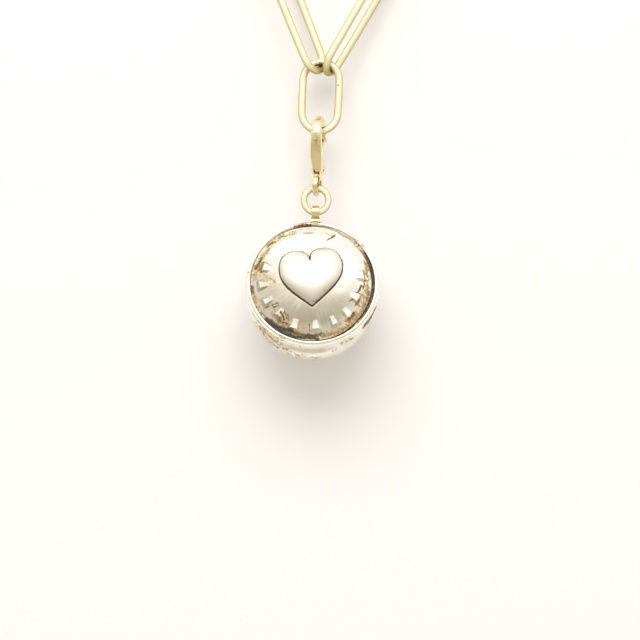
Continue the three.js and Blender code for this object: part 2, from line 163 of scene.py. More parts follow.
def along_closed(line: np.ndarray) -> tuple[Callable[[np.ndarray], np.ndarray], float]:
    """Measures a closed line.

    Args:
        line: Its points, with the first one again at the end.

    Returns:
        A function from distances along the line to places on it, and the line's length.
    """
    s = np.concatenate([[0], np.cumsum(np.linalg.norm(np.diff(line, axis=0), axis=1))])
    return lambda at: np.stack([np.interp(at % s[-1], s, line[:, k]) for k in (0, 1)], axis=1), s[-1]


def axes(across: Sequence[float], up: Sequence[float], at: Sequence[float]) -> Matrix:
    """Placement whose first two axes and origin are given, in millimetres.

    Args:
        across: Unit vector of the drawing's x.
        up: Unit vector of the drawing's y.
        at: Origin of the drawing.

    Returns:
        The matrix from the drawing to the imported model's frame.
    """
    x, y = Vector(across), Vector(up)
    m = Matrix((x, y, x.cross(y))).transposed().to_4x4()
    m.translation = Vector(at)
    return m


# ---- Meshes ----


class Sketch:
    """Collects closed shells in millimetres and turns them into one mesh."""

    def __init__(self) -> None:
        """Starts empty."""
        self.points: list[tuple[float, float, float]] = []
        self.faces: list[tuple[int, ...]] = []

    def grid(self, rows: np.ndarray, close_rows: bool = False, close_columns: bool = True,
             caps: bool = False) -> None:
        """Adds a sheet of quads.

        Args:
            rows: Points as an array of (row, column, 3).
            close_rows: Joins the last row to the first.
            close_columns: Joins the last column to the first.
            caps: Fills the first and last rows with one face each.
        """
        n, m = rows.shape[:2]
        base = len(self.points)
        self.points.extend(map(tuple, rows.reshape(-1, 3)))
        for i in range(n if close_rows else n - 1):
            below, above = base + i * m, base + ((i + 1) % n) * m
            for j in range(m if close_columns else m - 1):
                k = (j + 1) % m
                self.faces.append((below + j, below + k, above + k, above + j))
        if caps:
            self.faces.append(tuple(base + j for j in reversed(range(m))))
            self.faces.append(tuple(base + (n - 1) * m + j for j in range(m)))

    def prism(self, outline: np.ndarray, low: float, high: float) -> None:
        """Adds a flat plate.

        Args:
            outline: Corner points as rows of (x, y).
            low: Lower face's z.
            high: Upper face's z.
        """
        rows = np.stack([np.column_stack([outline, np.full(len(outline), z)]) for z in (low, high)])
        self.grid(rows, caps=True)

    def box(self, low: Sequence[float], high: Sequence[float]) -> None:
        """Adds an upright block between two corners."""
        corners = np.array([(low[0], low[1]), (high[0], low[1]), (high[0], high[1]), (low[0], high[1])])
        self.prism(corners, low[2], high[2])

    def turned(self, profile: np.ndarray, steps: int, at: Sequence[float] = (0, 0, 0)) -> None:
        """Adds a lathe shape about z.

        Args:
            profile: Rows of (distance, height) from pole to pole, or a closed loop.
            steps: Number of columns.
            at: Where the axis meets height 0.
        """
        t = full_turn(steps)
        r, h = profile[:, 0][:, None], profile[:, 1][:, None]
        rows = np.stack([at[0] + r * np.cos(t), at[1] + r * np.sin(t), at[2] + h + 0 * t], axis=2)
        self.grid(rows)

    def mesh(self, name: str) -> bpy.types.Mesh:
        """The welded mesh in millimetres with its faces pointing out.

        Args:
            name: Name of the mesh.

        Returns:
            A new Blender mesh.
        """
        mesh = bpy.data.meshes.new(name)
        mesh.from_pydata(self.points, [], self.faces)
        bm = bmesh.new()
        bm.from_mesh(mesh)
        bmesh.ops.remove_doubles(bm, verts=bm.verts, dist=1e-4)
        bmesh.ops.dissolve_degenerate(bm, dist=1e-5, edges=bm.edges)
        bmesh.ops.recalc_face_normals(bm, faces=bm.faces)
        bm.to_mesh(mesh)
        bm.free()
        return mesh


def shown(name: str, data: bpy.types.ID) -> bpy.types.Object:
    """Makes an object and puts it in the scene.

    Args:
        name: Name of the object.
        data: Its mesh, camera or lamp.

    Returns:
        The new object.
    """
    made = bpy.data.objects.new(name, data)
    bpy.context.scene.collection.objects.link(made)
    return made


def fused(name: str, sketch: Sketch, voxel: float, smoothing: int,
          cutters: Iterable[Sketch] = ()) -> bpy.types.Mesh:
    """Melts overlapping shells into one casting and cuts its slots and bores.

    Args:
        name: Name of the mesh.
        sketch: The shells to melt together.
        voxel: Fineness of the casting in millimetres.
        smoothing: Rounds of smoothing before the cuts.
        cutters: Shells to take away afterwards.

    Returns:
        The casting's mesh in millimetres.
    """
    block = shown(name, sketch.mesh(name))
    made = [block]

    def step(kind: str, **settings: object) -> None:
        """Adds one step of the work to the block.

        Args:
            kind: Blender's name for the step.
            settings: Its properties by name.
        """
        work = block.modifiers.new(kind, kind)
        for key, value in settings.items():
            setattr(work, key, value)

    step("REMESH", mode="VOXEL", voxel_size=voxel)
    step("SMOOTH", factor=0.5, iterations=smoothing)
    for i, cutter in enumerate(cutters):
        made.append(shown(f"{name}_cut{i}", cutter.mesh(f"{name}_cut{i}")))
        step("BOOLEAN", operation="DIFFERENCE", solver="EXACT", object=made[-1])
    graph = bpy.context.evaluated_depsgraph_get()
    graph.update()
    mesh = bpy.data.meshes.new_from_object(block.evaluated_get(graph))
    for obj in made:
        bpy.data.objects.remove(obj)
    return mesh


@dataclass(frozen=True)
class Stain:
    """Dirt along a line of a part's drawing; a line of two coordinates goes through its whole height."""

    path: tuple[tuple[float, ...], ...]
    width: float
    strength: float

    def amounts(self, points: np.ndarray) -> np.ndarray:
        """How strong the dirt is at each place.

        Args:
            points: Places in the drawing, one a row.

        Returns:
            One value for each place.
        """
        line = np.array(self.path, float)
        at = points[:, :line.shape[1]]
        least = np.full(len(at), np.inf)
        for a, b in list(zip(line, line[1:])) or [(line[0], line[0])]:
            away, along = at - a, b - a
            share = np.clip(away @ along / max(along @ along, 1e-9), 0, 1)[:, None]
            least = np.minimum(least, ((away - share * along) ** 2).sum(1))
        return self.strength * np.exp(-least / self.width ** 2)


def stains(*rows: tuple) -> list[Stain]:
    """Stains from rows of a width, a strength and the points of a line."""
    return [Stain(tuple(path), width, strength) for width, strength, *path in rows]


def stained(dirt: Sequence[Stain], points: np.ndarray, wander: float = 0.22) -> np.ndarray:
    """Strongest of several stains at each place, their edges wandering a little.

    Args:
        dirt: The stains.
        points: Places in the drawing, one a row.
        wander: How far the edges stray, in millimetres.

    Returns:
        One value for each place.
    """
    stray = np.stack([ripples(points, 0.9, seed) + 0.6 * ripples(points, 0.35, seed)
                      for seed in (1.3, 5.7, 9.1)], axis=1)
    moved = points + wander * stray
    return np.max([stain.amounts(moved) for stain in dirt], axis=0)


def dirty(dirt: Sequence[Stain], wander: float, all_over: float) -> Painter:
    """Painter of some stains and of a little dirt all over.

    Args:
        dirt: The stains.
        wander: How far their edges stray, in millimetres.
        all_over: Strength of the dirt all over.

    Returns:
        A function from places in the drawing to their stain.
    """
    return lambda points: stained(dirt, points, wander) + all_over


def finished(name: str, mesh: bpy.types.Mesh, place: Matrix, finish: "Finish", body: Body, node: str,
             tarnish: Painter, grain: Painter | None = None, patina_and_shade: Painter | None = None,
             crease: float = 35.0) -> None:
    """Places a mesh, paints its stains and grain, dresses it and hands it to its body.

    Args:
        name: Name of the piece.
        mesh: Its mesh in millimetres, in the drawing.
        place: Matrix from the drawing to the frame.
        finish: Its metal, with the slot that it is taken from.
        body: Body that it rides on.
        node: CAD node that it stands for.
        tarnish: Stain from 0 to 1 at places in the drawing.
        grain: Places in the space in which the surface's lines run along the third axis.
        patina_and_shade: Greying from 0 to 1 at places in the drawing: painted shade on the wires, plate and
            heart, and a dull tone on the cup.
        crease: Edges sharper than this, in degrees, stay sharp.
    """
    points = np.empty(3 * len(mesh.vertices))
    mesh.vertices.foreach_get("co", points)
    points = points.reshape(-1, 3)
    for label, painter in (("tarnish", tarnish), ("patina_and_shade", patina_and_shade)):
        values = np.clip(painter(points), 0, 1) if painter else np.zeros(len(points))
        mesh.attributes.new(label, "FLOAT", "POINT").data.foreach_set("value", values)
    lines = grain(points) if grain else points
    mesh.attributes.new("grain", "FLOAT_VECTOR", "POINT").data.foreach_set("vector", lines.ravel())
    mesh.transform(Matrix.Scale(MM, 4) @ place)
    mesh.polygons.foreach_set("use_smooth", [True] * len(mesh.polygons))
    mesh.set_sharp_from_angle(angle=math.radians(crease))
    mesh.materials.clear()
    mesh.materials.append(finish.material())
    piece = shown(name, mesh)
    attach(piece, body.value)
    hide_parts(node)
    LOG.info("%s: %d faces, rides on %s", name, len(mesh.polygons), body.value)


# ---- Finishes ----


class Bench:
    """Short ways to add shader nodes to one node tree."""

    def __init__(self, tree: bpy.types.NodeTree) -> None:
        """Clears the tree and keeps it."""
        self.tree = tree
        tree.nodes.clear()

    def node(self, kind: str, inputs: dict[str | int, object] | None = None,
             **settings: object) -> bpy.types.Node:
        """Adds a node, sets its properties and feeds its inputs.

        Args:
            kind: Blender's name for the kind of node, without ShaderNode.
            inputs: Plain values and sockets by the input's name or place.
            settings: Properties by name.

        Returns:
            The new node.
        """
        made = self.tree.nodes.new("ShaderNode" + kind)
        for key, value in settings.items():
            setattr(made, key, value)
        for key, value in (inputs or {}).items():
            if isinstance(value, bpy.types.NodeSocket):
                self.tree.links.new(value, made.inputs[key])
            else:
                made.inputs[key].default_value = value
        return made

    def sum(self, operation: str, a: object, b: object, c: object = 0.0,
            clamp: bool = False) -> bpy.types.NodeSocket:
        """Adds a math node.

        Args:
            operation: Blender's name for the sum.
            a: First value or socket.
            b: Second value or socket.
            c: Third value or socket, for sums of three.
            clamp: Keeps the result between 0 and 1.

        Returns:
            The result's socket.
        """
        return self.node("Math", {0: a, 1: b, 2: c}, operation=operation, use_clamp=clamp).outputs[0]

    def span(self, value: object, low: float, high: float, to_low: float,
             to_high: float) -> bpy.types.NodeSocket:
        """Maps a range of values smoothly to another.

        Args:
            value: Socket to map.
            low: Value that gives to_low.
            high: Value that gives to_high.
            to_low: Result at and below low.
            to_high: Result at and above high.

        Returns:
            The mapped socket.
        """
        inputs = dict(enumerate((value, low, high, to_low, to_high)))
        return self.node("MapRange", inputs, interpolation_type="SMOOTHSTEP").outputs[0]

    def cloud(self, place: object, scale: float, detail: float, rough: float) -> bpy.types.NodeSocket:
        """Adds a noise texture.

        Args:
            place: Socket with the place.
            scale: Waves in a metre, or in a unit of the place.
            detail: Number of finer layers.
            rough: Strength of each finer layer.

        Returns:
            The value's socket.
        """
        inputs = {"Vector": place, "Scale": scale, "Detail": detail, "Roughness": rough}
        return self.node("TexNoise", inputs).outputs["Fac"]

    def ramp(self, value: object, *stops: tuple[float, Colour]) -> bpy.types.NodeSocket:
        """Adds a colour ramp.

        Args:
            value: Socket that picks the colour.
            stops: Pairs of place and colour.

        Returns:
            The colour socket.
        """
        made = self.node("ValToRGB", {0: value})
        line = made.color_ramp
        while len(line.elements) < len(stops):
            line.elements.new(1.0)
        for element, (place, colour) in zip(line.elements, stops):
            element.position = place
            element.color = (*colour, 1.0)
        return made.outputs[0]

    def mix(self, share: object, first: object, second: object) -> bpy.types.NodeSocket:
        """Mixes two colours.

        Args:
            share: Share of the second colour, a value or socket.
            first: First colour or socket.
            second: Second colour or socket.

        Returns:
            The mixed colour's socket.
        """
        a, b = ((*colour, 1.0) if isinstance(colour, tuple) else colour for colour in (first, second))
        return self.node("Mix", {"Factor": share, 6: a, 7: b}, data_type="RGBA").outputs[2]

    def bump(self, height: object, depth: float,
             normal: bpy.types.NodeSocket | None = None) -> bpy.types.NodeSocket:
        """Adds a bump.

        Args:
            height: Socket with the height from 0 to 1.
            depth: Height in millimetres that 1 stands for.
            normal: Normal to start from.

        Returns:
            The bent normal.
        """
        inputs = {"Strength": 1.0, "Distance": depth * MM, "Height": height}
        if normal is not None:
            inputs["Normal"] = normal
        return self.node("Bump", inputs).outputs[0]

    def painted(self, label: str, output: str = "Fac") -> bpy.types.NodeSocket:
        """What is painted on the mesh under a label."""
        return self.node("Attribute", attribute_name=label).outputs[output]

    def pick(self, share: object, first: bpy.types.Node, second: bpy.types.Node) -> bpy.types.Node:
        """Mixes two shaders, the share being that of the second."""
        return self.node("MixShader", {0: share, 1: first.outputs[0], 2: second.outputs[0]})


@dataclass(frozen=True)
class Finish:
    """A worn metal: bright where it is clean, then hazy, brown and at last crusted."""

    name: str
    slot: Slot
    bright: Colour
    tinted: Colour
    haze: Colour
    stain: Colour
    crust: Colour
    # Colour that patina_and_shade turns towards: painted shade on the wires, plate and heart, a dull tone on
    # the cup.
    patina_and_shade_colour: Colour
    roughness: float
    roughness_spread: float
    grain: tuple[float, float, float]
    grain_depth: float
    cloud_size: float
    pit_size: float
    pit_depth: float
    dent_size: float = 3.0
    dent_depth: float = 0.0
    speckle: float = 1.7
    bare: float = 1.0
    rim_tint: Colour = (1.0, 1.0, 1.0)

    def material(self) -> bpy.types.Material:
        """The material, made once and then shared."""
        return bpy.data.materials.get(self.name) or self.build()

    def build(self) -> bpy.types.Material:
        """Makes the node material.

        Returns:
            A new Blender material.
        """
        made = bpy.data.materials.new(self.name)
        made.use_nodes = True
        bench = Bench(made.node_tree)
        place = bench.node("TexCoord").outputs["Object"]
        stain, patina_and_shade = bench.painted("tarnish"), bench.painted("patina_and_shade")
        lines = bench.node("Mapping", {"Vector": bench.painted("grain", "Vector"), "Scale": self.grain})

        broad = bench.cloud(place, 1 / (self.cloud_size * MM), 4.0, 0.6)
        fine = bench.cloud(place, 1 / (self.pit_size * MM), 5.0, 0.65)
        streak = bench.cloud(lines.outputs[0], 1.0, 4.0, 0.6)

        specks = bench.sum("MULTIPLY", bench.sum("SUBTRACT", fine, 0.5),
                           bench.span(stain, 0.0, 0.2, 0.5, self.speckle))
        tone = bench.sum("ADD", stain, specks, clamp=True)
        cover = bench.span(tone, 0.18, 0.42, 0.0, 1.0)
        clean = bench.mix(bench.span(broad, 0.35, 0.65, 0.0, 1.0), self.bright, self.tinted)
        # Share of patina_and_shade_colour: painted shade on the wires, plate and heart, a dull tone on the
        # cup.
        patina_and_shade_share = bench.sum("MULTIPLY", patina_and_shade, bench.span(streak, 0.3, 0.7, 0.88, 1.12), clamp=True)
        dirt = bench.ramp(tone, (0.25, self.haze), (0.6, self.stain), (0.95, self.crust))
        colour = bench.mix(cover, bench.mix(patina_and_shade_share, clean, self.patina_and_shade_colour), dirt)

        wander = bench.sum("MULTIPLY", bench.sum("SUBTRACT", bench.sum("ADD", broad, streak), 1.0),
                           self.roughness_spread)
        rough = bench.sum("ADD", bench.sum("ADD", wander, self.roughness),
                          bench.sum("MULTIPLY", cover, 0.25), clamp=True)

        normal = bench.bump(streak, self.grain_depth)
        pits = bench.sum("ADD", fine, bench.sum("MULTIPLY", cover, -0.5))
        normal = bench.bump(pits, self.pit_depth, normal)
        if self.dent_depth:
            dents = bench.cloud(place, 1 / (self.dent_size * MM), 1.5, 0.5)
            normal = bench.bump(dents, self.dent_depth, normal)
        metal = bench.node("BsdfPrincipled", {
            "Base Color": colour, "Metallic": bench.span(tone, 0.6, 1.0, self.bare, 0.25 * self.bare),
            "Roughness": rough, "Normal": normal, "Specular Tint": (*self.rim_tint, 1)})
        bench.node("OutputMaterial", {"Surface": metal.outputs[0]})
        return made


# For the wires, bright is the lit front and patina_and_shade_colour is the painted shade of their sides.
GOLD_WIRE = Finish(
    name="drawn_gold_wire", slot=Slot.GOLD_WIRE, bright=(0.97, 0.93, 0.74), tinted=(0.96, 0.90, 0.66),
    haze=(0.55, 0.43, 0.18), stain=(0.30, 0.18, 0.07), crust=(0.06, 0.04, 0.02), patina_and_shade_colour=(0.52, 0.46, 0.14),
    roughness=0.34, roughness_spread=0.10, grain=(4.0, 4.0, 4.0), grain_depth=0.002,
    cloud_size=2.5, pit_size=0.35, pit_depth=0.001, bare=0.45, rim_tint=(0.50, 0.44, 0.16))
GOLD_CAST = Finish(
    name="cast_gold", slot=Slot.GOLD_CAST, bright=(0.91, 0.82, 0.53), tinted=(0.87, 0.75, 0.46),
    haze=(0.66, 0.47, 0.20), stain=(0.30, 0.17, 0.06), crust=(0.05, 0.03, 0.015), patina_and_shade_colour=(0.6, 0.5, 0.33),
    roughness=0.2, roughness_spread=0.12, grain=(1.2, 1.2, 1.2), grain_depth=0.006,
    cloud_size=1.6, pit_size=0.22, pit_depth=0.003)
SPRING_STEEL = Finish(
    name="spring_steel", slot=Slot.SPRING, bright=(0.55, 0.55, 0.54), tinted=(0.48, 0.47, 0.45),
    haze=(0.42, 0.36, 0.28), stain=(0.22, 0.14, 0.08), crust=(0.04, 0.03, 0.02), patina_and_shade_colour=(0.35, 0.34, 0.33),
    roughness=0.35, roughness_spread=0.12, grain=(1.0, 12.0, 12.0), grain_depth=0.003,
    cloud_size=0.6, pit_size=0.12, pit_depth=0.002)
SILVER_BODY = Finish(
    name="worn_silver", slot=Slot.SILVER_BODY, bright=(0.95, 0.93, 0.87), tinted=(0.91, 0.86, 0.75),
    haze=(0.72, 0.60, 0.40), stain=(0.40, 0.27, 0.14), crust=(0.05, 0.035, 0.03), patina_and_shade_colour=(0.66, 0.62, 0.52),
    roughness=0.17, roughness_spread=0.16, grain=(0.9, 0.9, 0.9), grain_depth=0.012,
    cloud_size=2.0, pit_size=0.5, pit_depth=0.006, dent_size=2.4, dent_depth=0.07)
SILVER_RIM = Finish(
    name="rubbed_silver_edge", slot=Slot.SILVER_BODY, bright=(0.95, 0.93, 0.87), tinted=(0.92, 0.88, 0.80),
    haze=(0.74, 0.60, 0.38), stain=(0.30, 0.17, 0.08), crust=(0.035, 0.027, 0.025), patina_and_shade_colour=(0.66, 0.62, 0.52),
    roughness=0.16, roughness_spread=0.10, grain=(1.4, 1.4, 1.4), grain_depth=0.006,
    cloud_size=1.5, pit_size=0.35, pit_depth=0.003)
# Its patina_and_shade_colour is the painted shade of the plate's lower half.
SILVER_FACE = Finish(
    name="brushed_silver_plate", slot=Slot.SILVER_FACE, bright=(0.93, 0.91, 0.85), tinted=(0.90, 0.87, 0.79),
    haze=(0.76, 0.62, 0.34), stain=(0.38, 0.27, 0.14), crust=(0.055, 0.048, 0.045), patina_and_shade_colour=(0.47, 0.43, 0.34),
    roughness=0.34, roughness_spread=0.14, grain=(9.0, 9.0, 0.28), grain_depth=0.005,
    cloud_size=2.0, pit_size=0.32, pit_depth=0.005, speckle=1.4)
# Its patina_and_shade_colour is the painted shade of the heart's flanks.
SILVER_HEART = Finish(
    name="satin_silver_heart", slot=Slot.SILVER_FACE, bright=(0.95, 0.92, 0.85), tinted=(0.92, 0.89, 0.81),
    haze=(0.62, 0.54, 0.40), stain=(0.20, 0.15, 0.10), crust=(0.03, 0.024, 0.02), patina_and_shade_colour=(0.62, 0.59, 0.50),
    roughness=0.36, roughness_spread=0.08, grain=(1.4, 1.4, 1.4), grain_depth=0.006,
    cloud_size=2.2, pit_size=0.3, pit_depth=0.003)


# ---- Chain ----


def painted_side_shade(place: Matrix, line: np.ndarray) -> Painter:
    """Painted shade on a round wire's sides, which turn away from the front; its front and back stay bright.

    Args:
        place: Placement of the wire's drawing.
        line: Points (x, y) along the wire's middle.

    Returns:
        A function from places in the drawing to their dullness, from 0 to 1.
    """
    front = np.array(place.to_3x3().inverted() @ Vector((0, -1, 0)))
    middle = np.column_stack([line, np.zeros(len(line))])

    def side_shade(points: np.ndarray) -> np.ndarray:
        """How far each place is turned from the front.

        Args:
            points: Places in the drawing, one a row.

        Returns:
            One value for each place.
        """
        near = np.array([middle[((middle - point) ** 2).sum(1).argmin()] for point in points])
        out = points - near
        facing = out @ front / np.maximum(np.linalg.norm(out, axis=1), 1e-6)
        # painted shade, strongest where the wire turns sideways from the front
        return between(np.abs(facing), 0.96, 0.46) * (0.87 + 0.1 * ripples(points, 0.9, 2.0))

    return side_shade


@dataclass(frozen=True)
class OvalLink:
    """A link bent from round wire, drawn with its length along y. Sizes are between wire centres."""

    length: float
    width: float
    end_radius: float
    wire: float
    seam_at: float
    seam_dirt: float = 0.0
    seam_width: float = 0.035
    seam_depth: float = 0.045
    steps: int = 132
    sides: int = 24

    def centre_line(self) -> tuple[np.ndarray, np.ndarray, np.ndarray]:
        """Finds the wire's middle, finer at its butt joint.

        Returns:
            Places, outward directions and distances along the wire.
        """
        a, b, e = self.length / 2, self.width / 2, self.end_radius
        side = (b * b + (a - e) ** 2 - e ** 2) / (2 * (b - e))
        meet = math.degrees(math.atan2(a - e, side - b))
        line = np.concatenate([run[:-1] for run in (
            arc(0, a - e, e, e, meet, 180 - meet, 400),
            arc(side - b, 0, side, side, 180 - meet, 180 + meet, 900),
            arc(0, e - a, e, e, 180 + meet, 360 - meet, 400),
            arc(b - side, 0, side, side, -meet, meet, 900))])
        on_line, total = along_closed(np.vstack([line, line[:1]]))
        joint = self.seam_at * total + np.array([-0.12, -0.06, -0.03, 0, 0.03, 0.06, 0.12])
        even = np.linspace(0, total, self.steps, endpoint=False)
        at = np.unique(np.round(np.concatenate([even, joint]) % total, 5))
        along = on_line(at + 0.01) - on_line(at - 0.01)
        along /= np.linalg.norm(along, axis=1)[:, None]
        return on_line(at), np.stack([along[:, 1], -along[:, 0]], axis=1), at

    def mesh(self, name: str) -> bpy.types.Mesh:
        """The bent wire with a hair-fine butt joint.

        Args:
            name: Name of the mesh.

        Returns:
            A new Blender mesh in millimetres.
        """
        places, out, s = self.centre_line()
        away = (s - self.seam_at * s[-1]) / self.seam_width
        radius = self.wire / 2 * (1 - self.seam_depth * np.exp(-away ** 2))
        t = full_turn(self.sides)
        reach = radius[:, None] * np.cos(t)
        flat = [places[:, k, None] + out[:, k, None] * reach for k in (0, 1)]
        sketch = Sketch()
        sketch.grid(np.stack([*flat, radius[:, None] * np.sin(t)], axis=2), close_rows=True)
        return sketch.mesh(name)


@dataclass
class Chain:
    """The two side links of the necklace and the link that hangs in them."""

    wire: float = 1.1
    drop: OvalLink = OvalLink(length=10.2, width=5.4, end_radius=2.65, wire=1.1, seam_at=0.975,
                              seam_dirt=0.55)
    side: OvalLink = OvalLink(length=21.2, width=5.0, end_radius=2.3, wire=1.1, seam_at=0.36)

    def side_place(self, hand: int, lean: float, turn: float, aside: float, slack: float) -> Matrix:
        """Placement of a side link that hangs its lower bend under the drop link's top wire.

        Args:
            hand: -1 for the left link and 1 for the right one.
            lean: Lean from the upright in degrees.
            turn: Turn about its own length in degrees.
            aside: How far its bend rests beside the middle.
            slack: How far the bend rests under the wire.

        Returns:
            The matrix from the link's drawing to the frame.
        """
        lean, turn = math.radians(lean), math.radians(turn)
        across = (math.cos(lean) * math.cos(turn), math.sin(turn), -hand * math.sin(lean) * math.cos(turn))
        along = (hand * math.sin(lean), 0, math.cos(lean))
        bend = (hand * aside, 0, -(self.wire + fall(self.drop.end_radius, aside) + slack))
        return axes(across, along, bend) @ Matrix.Translation((0, self.side.length / 2, 0))

    def rubbed(self, link: OvalLink) -> Painter:
        """Stain of a link: thin dirt where other links rest inside its ends, and in its butt joint.

        Args:
            link: The link.

        Returns:
            A function from places in the drawing to their stain.
        """
        inside = link.length / 2 - link.wire / 2
        dirt = stains(*((0.42, 0.8, (-0.5, end), (0.5, end)) for end in (inside, -inside)))
        places, _, s = link.centre_line()
        x, y = places[np.abs(s - link.seam_at * s[-1]).argmin()]
        seam = stains((0.1, link.seam_dirt, (x * 0.9, y), (x * 0.97, y)))
        return lambda points: np.maximum(stained(dirt, points), stained(seam, points, 0.03)) + 0.04

    def build(self) -> None:
        """Builds and dresses the three links."""
        left = self.side_place(-1, lean=24, turn=56, aside=0.45, slack=0.14)
        right = self.side_place(1, lean=28, turn=70, aside=0.86, slack=0.2)
        down = axes((1, 0, 0), (0, 0, 1), (0, 0, -self.drop.length / 2))
        for name, link, place, body, node in (
                ("left_side_link", self.side, left, Body.NECKLACE, "side_link_left"),
                ("right_side_link", self.side, right, Body.NECKLACE, "side_link_right"),
                ("hanging_drop_link", self.drop, down, Body.DROP, "drop_link")):
            finished(name, link.mesh(name), place, GOLD_WIRE, body, node, self.rubbed(link),
                     patina_and_shade=painted_side_shade(place, link.centre_line()[0]))


# ---- Clasp ----


@dataclass
class LobsterClasp:
    """Cast clasp in its own plane: x from spine to lever, y up, z through it."""

    turn: float = 10.0
    hang: float = 10.2
    thickness: float = 1.78
    hook_top: float = 2.2217
    window_top: float = -0.8283
    window_radius: float = 1.55
    outer_radius: float = 2.8
    window_floor: float = -4.2533
    tip: float = -1.5783
    tip_inner: tuple[float, float] = (1.675, -1.171)
    tip_outer: float = 2.65
    rivet_at: tuple[float, float] = (0.4, -5.6)
    rivet_radius: float = 0.4
    rivet_proud: float = 0.14
    boss: float = 1.05
    lever_root: float = 0.75
    lever_thickness: float = 0.8
    latch_gap: float = 0.12
    play: float = 0.05
    eye_middle: float = -8.1283
    eye_radius: float = 1.25
    eye_wire: float = 0.8
    eye_depth: float = 0.9
    eye_crown: float = 0.42
    slot_top: float = -3.7033
    slot_floor: float = -6.4
    neck_offset: float = 0.04
    leaf: float = 0.16
    leaf_width: float = 0.5

    def place(self) -> Matrix:
        """Placement of the clasp's plane."""
        t = math.radians(self.turn)
        return axes((math.sin(t), math.cos(t), 0), (0, 0, 1), (0, 0, -self.hang))

    def depth(self, y: float) -> float:
        """Thickness of the casting at a height.

        Args:
            y: Height in the drawing.

        Returns:
            The thickness in millimetres.
        """
        top = 0.3 * smoothstep(y, self.window_top - self.window_radius, self.hook_top)
        neck = 0.3 * smoothstep(-y, -self.rivet_at[1] - 0.1, -self.rivet_at[1] + self.boss)
        return self.thickness * (1 - top - neck)

    def bore(self) -> Sketch:
        """Hole for the rivet, through the whole clasp.

        Returns:
            A sketch of the hole.
        """
        radius, hole = self.rivet_radius + self.play, Sketch()
        hole.prism(arc(*self.rivet_at, radius, radius, 0, 345, 24), -2, 2)
        return hole

    def edges(self) -> tuple[np.ndarray, np.ndarray]:
        """Outer and inner edge of the band, from the hook's tip over its top to the rivet's boss.

        Returns:
            Two arrays of (x, y) with as many rows.
        """
        top, r, w, floor = self.window_top, self.outer_radius, self.window_radius, self.window_floor
        x, y = self.rivet_at
        tip = np.linspace(0, 1, 6)[:-1, None]
        outer_tip = np.array([self.tip_outer, self.tip]) * (1 - tip) + np.array([r, top]) * tip
        inner_tip = np.array(self.tip_inner) * (1 - tip) + np.array([w, top]) * tip
        spine = bezier((-r, top), (-r, top - 2.52), (-r * 0.7, y + self.boss),
                       (-self.boss * 0.75, y - self.boss * 0.55), 26)
        inside = bezier((-w, top), (-w, floor + w * 0.8), (-w * 0.7, floor), (0, floor), 26)
        over = arc(0, top, r, self.hook_top - top, 0, 180, 40)[:-1]
        under = arc(0, top, w, w, 0, 180, 40)[:-1]
        return (np.vstack([outer_tip, over, spine, [(x - 0.15, y - self.boss)]]),
                np.vstack([inner_tip, under, inside, [(x + 0.8, y + self.boss * 0.62)]]))

    def body(self) -> None:
        """Hook, spine, cheeks, neck and eye in one casting."""
        outer, inner = self.edges()
        middle, reach = (outer + inner) / 2, (outer - inner) / 2
        ux, uz = squared_circle(28, 2 / 2.7)
        half = np.array([self.depth(y) / 2 for y in middle[:, 1]])
        band = [middle[:, k, None] + reach[:, k, None] * ux for k in (0, 1)]
        sketch = Sketch()
        sketch.grid(np.stack([*band, half[:, None] * uz], axis=2), caps=True)
        cheek = self.depth(self.rivet_at[1]) / 2
        side = ((0, 1), (0.78, 1), (0.98, 0.82), (self.boss, 0.5))
        disc = [(r, -cheek * h) for r, h in side] + [(r, cheek * h) for r, h in reversed(side)]
        sketch.turned(np.array(disc), 40, (*self.rivet_at, 0))
        ring = arc(self.eye_radius, 0, self.eye_wire / 2, self.eye_depth / 2, 0, 360, 21)
        around = full_turn(56)
        deeper = np.array([1 + self.eye_crown * smoothstep(math.sin(a), -0.75, 0.3) for a in around])
        sketch.grid(np.stack([ring[:, :1] * np.cos(around), self.eye_middle + ring[:, :1] * np.sin(around),
                              ring[:, 1:] * deeper], axis=2))
        levels = ((self.slot_floor + 0.25, 0.8, 0.64), (-6.6, 0.78, 0.62), (-6.85, 0.74, 0.6),
                  (-7.15, 0.68, 0.58), (-7.35, 0.6, 0.5), (-7.5, 0.5, 0.4))
        sketch.grid(np.stack([np.stack([wide * ux + self.neck_offset, np.full_like(ux, y), deep * uz], axis=1)
                              for y, wide, deep in levels]), caps=True)
        slot, wide = Sketch(), self.lever_thickness / 2 + self.play
        slot.box((-self.boss, self.slot_floor, -wide), (self.outer_radius + 0.5, self.slot_top, wide))
        mesh = fused("clasp_casting", sketch, voxel=0.07, smoothing=3, cutters=(slot, self.bore()))
        eye = self.eye_middle
        dirt = stains(
            (0.55, 0.85, (0.4, -4.6, 0), (0.4, -6.2, 0)), (0.4, 0.6, (0, eye - 0.8, 0)),
            # The next row is a painted reflection: a faint brown patch on the spine's front.
            (0.4, 0.25, (-2.8, -0.7, 0.1), (-2.6, -2.2, 0.15)),
            (0.2, 0.6, (-0.75, -6.5, 0.4), (-1.1, -7.0, 0.5), (-1.5, -7.6, 0.5), (-1.5, -8.3, 0.5)),
            (0.3, 0.62, (0.62, eye + 0.75, 0.2), (0.75, eye, 0.3), (0.5, eye - 0.6, 0.3)),
            (0.35, 0.6, (1.9, -1.3, 0)), (0.45, 0.45, (0, self.window_top + self.window_radius, 0)),
            (0.12, 0.5, (-0.9, -6.35, -0.4), (-0.9, -6.3, 0.45)), (0.25, 0.8, (0.6, -6.5, 0.5)))
        finished("clasp_casting", mesh, self.place(), GOLD_CAST, Body.CLASP, "clasp_body",
                 dirty(dirt, 0.12, 0.03))

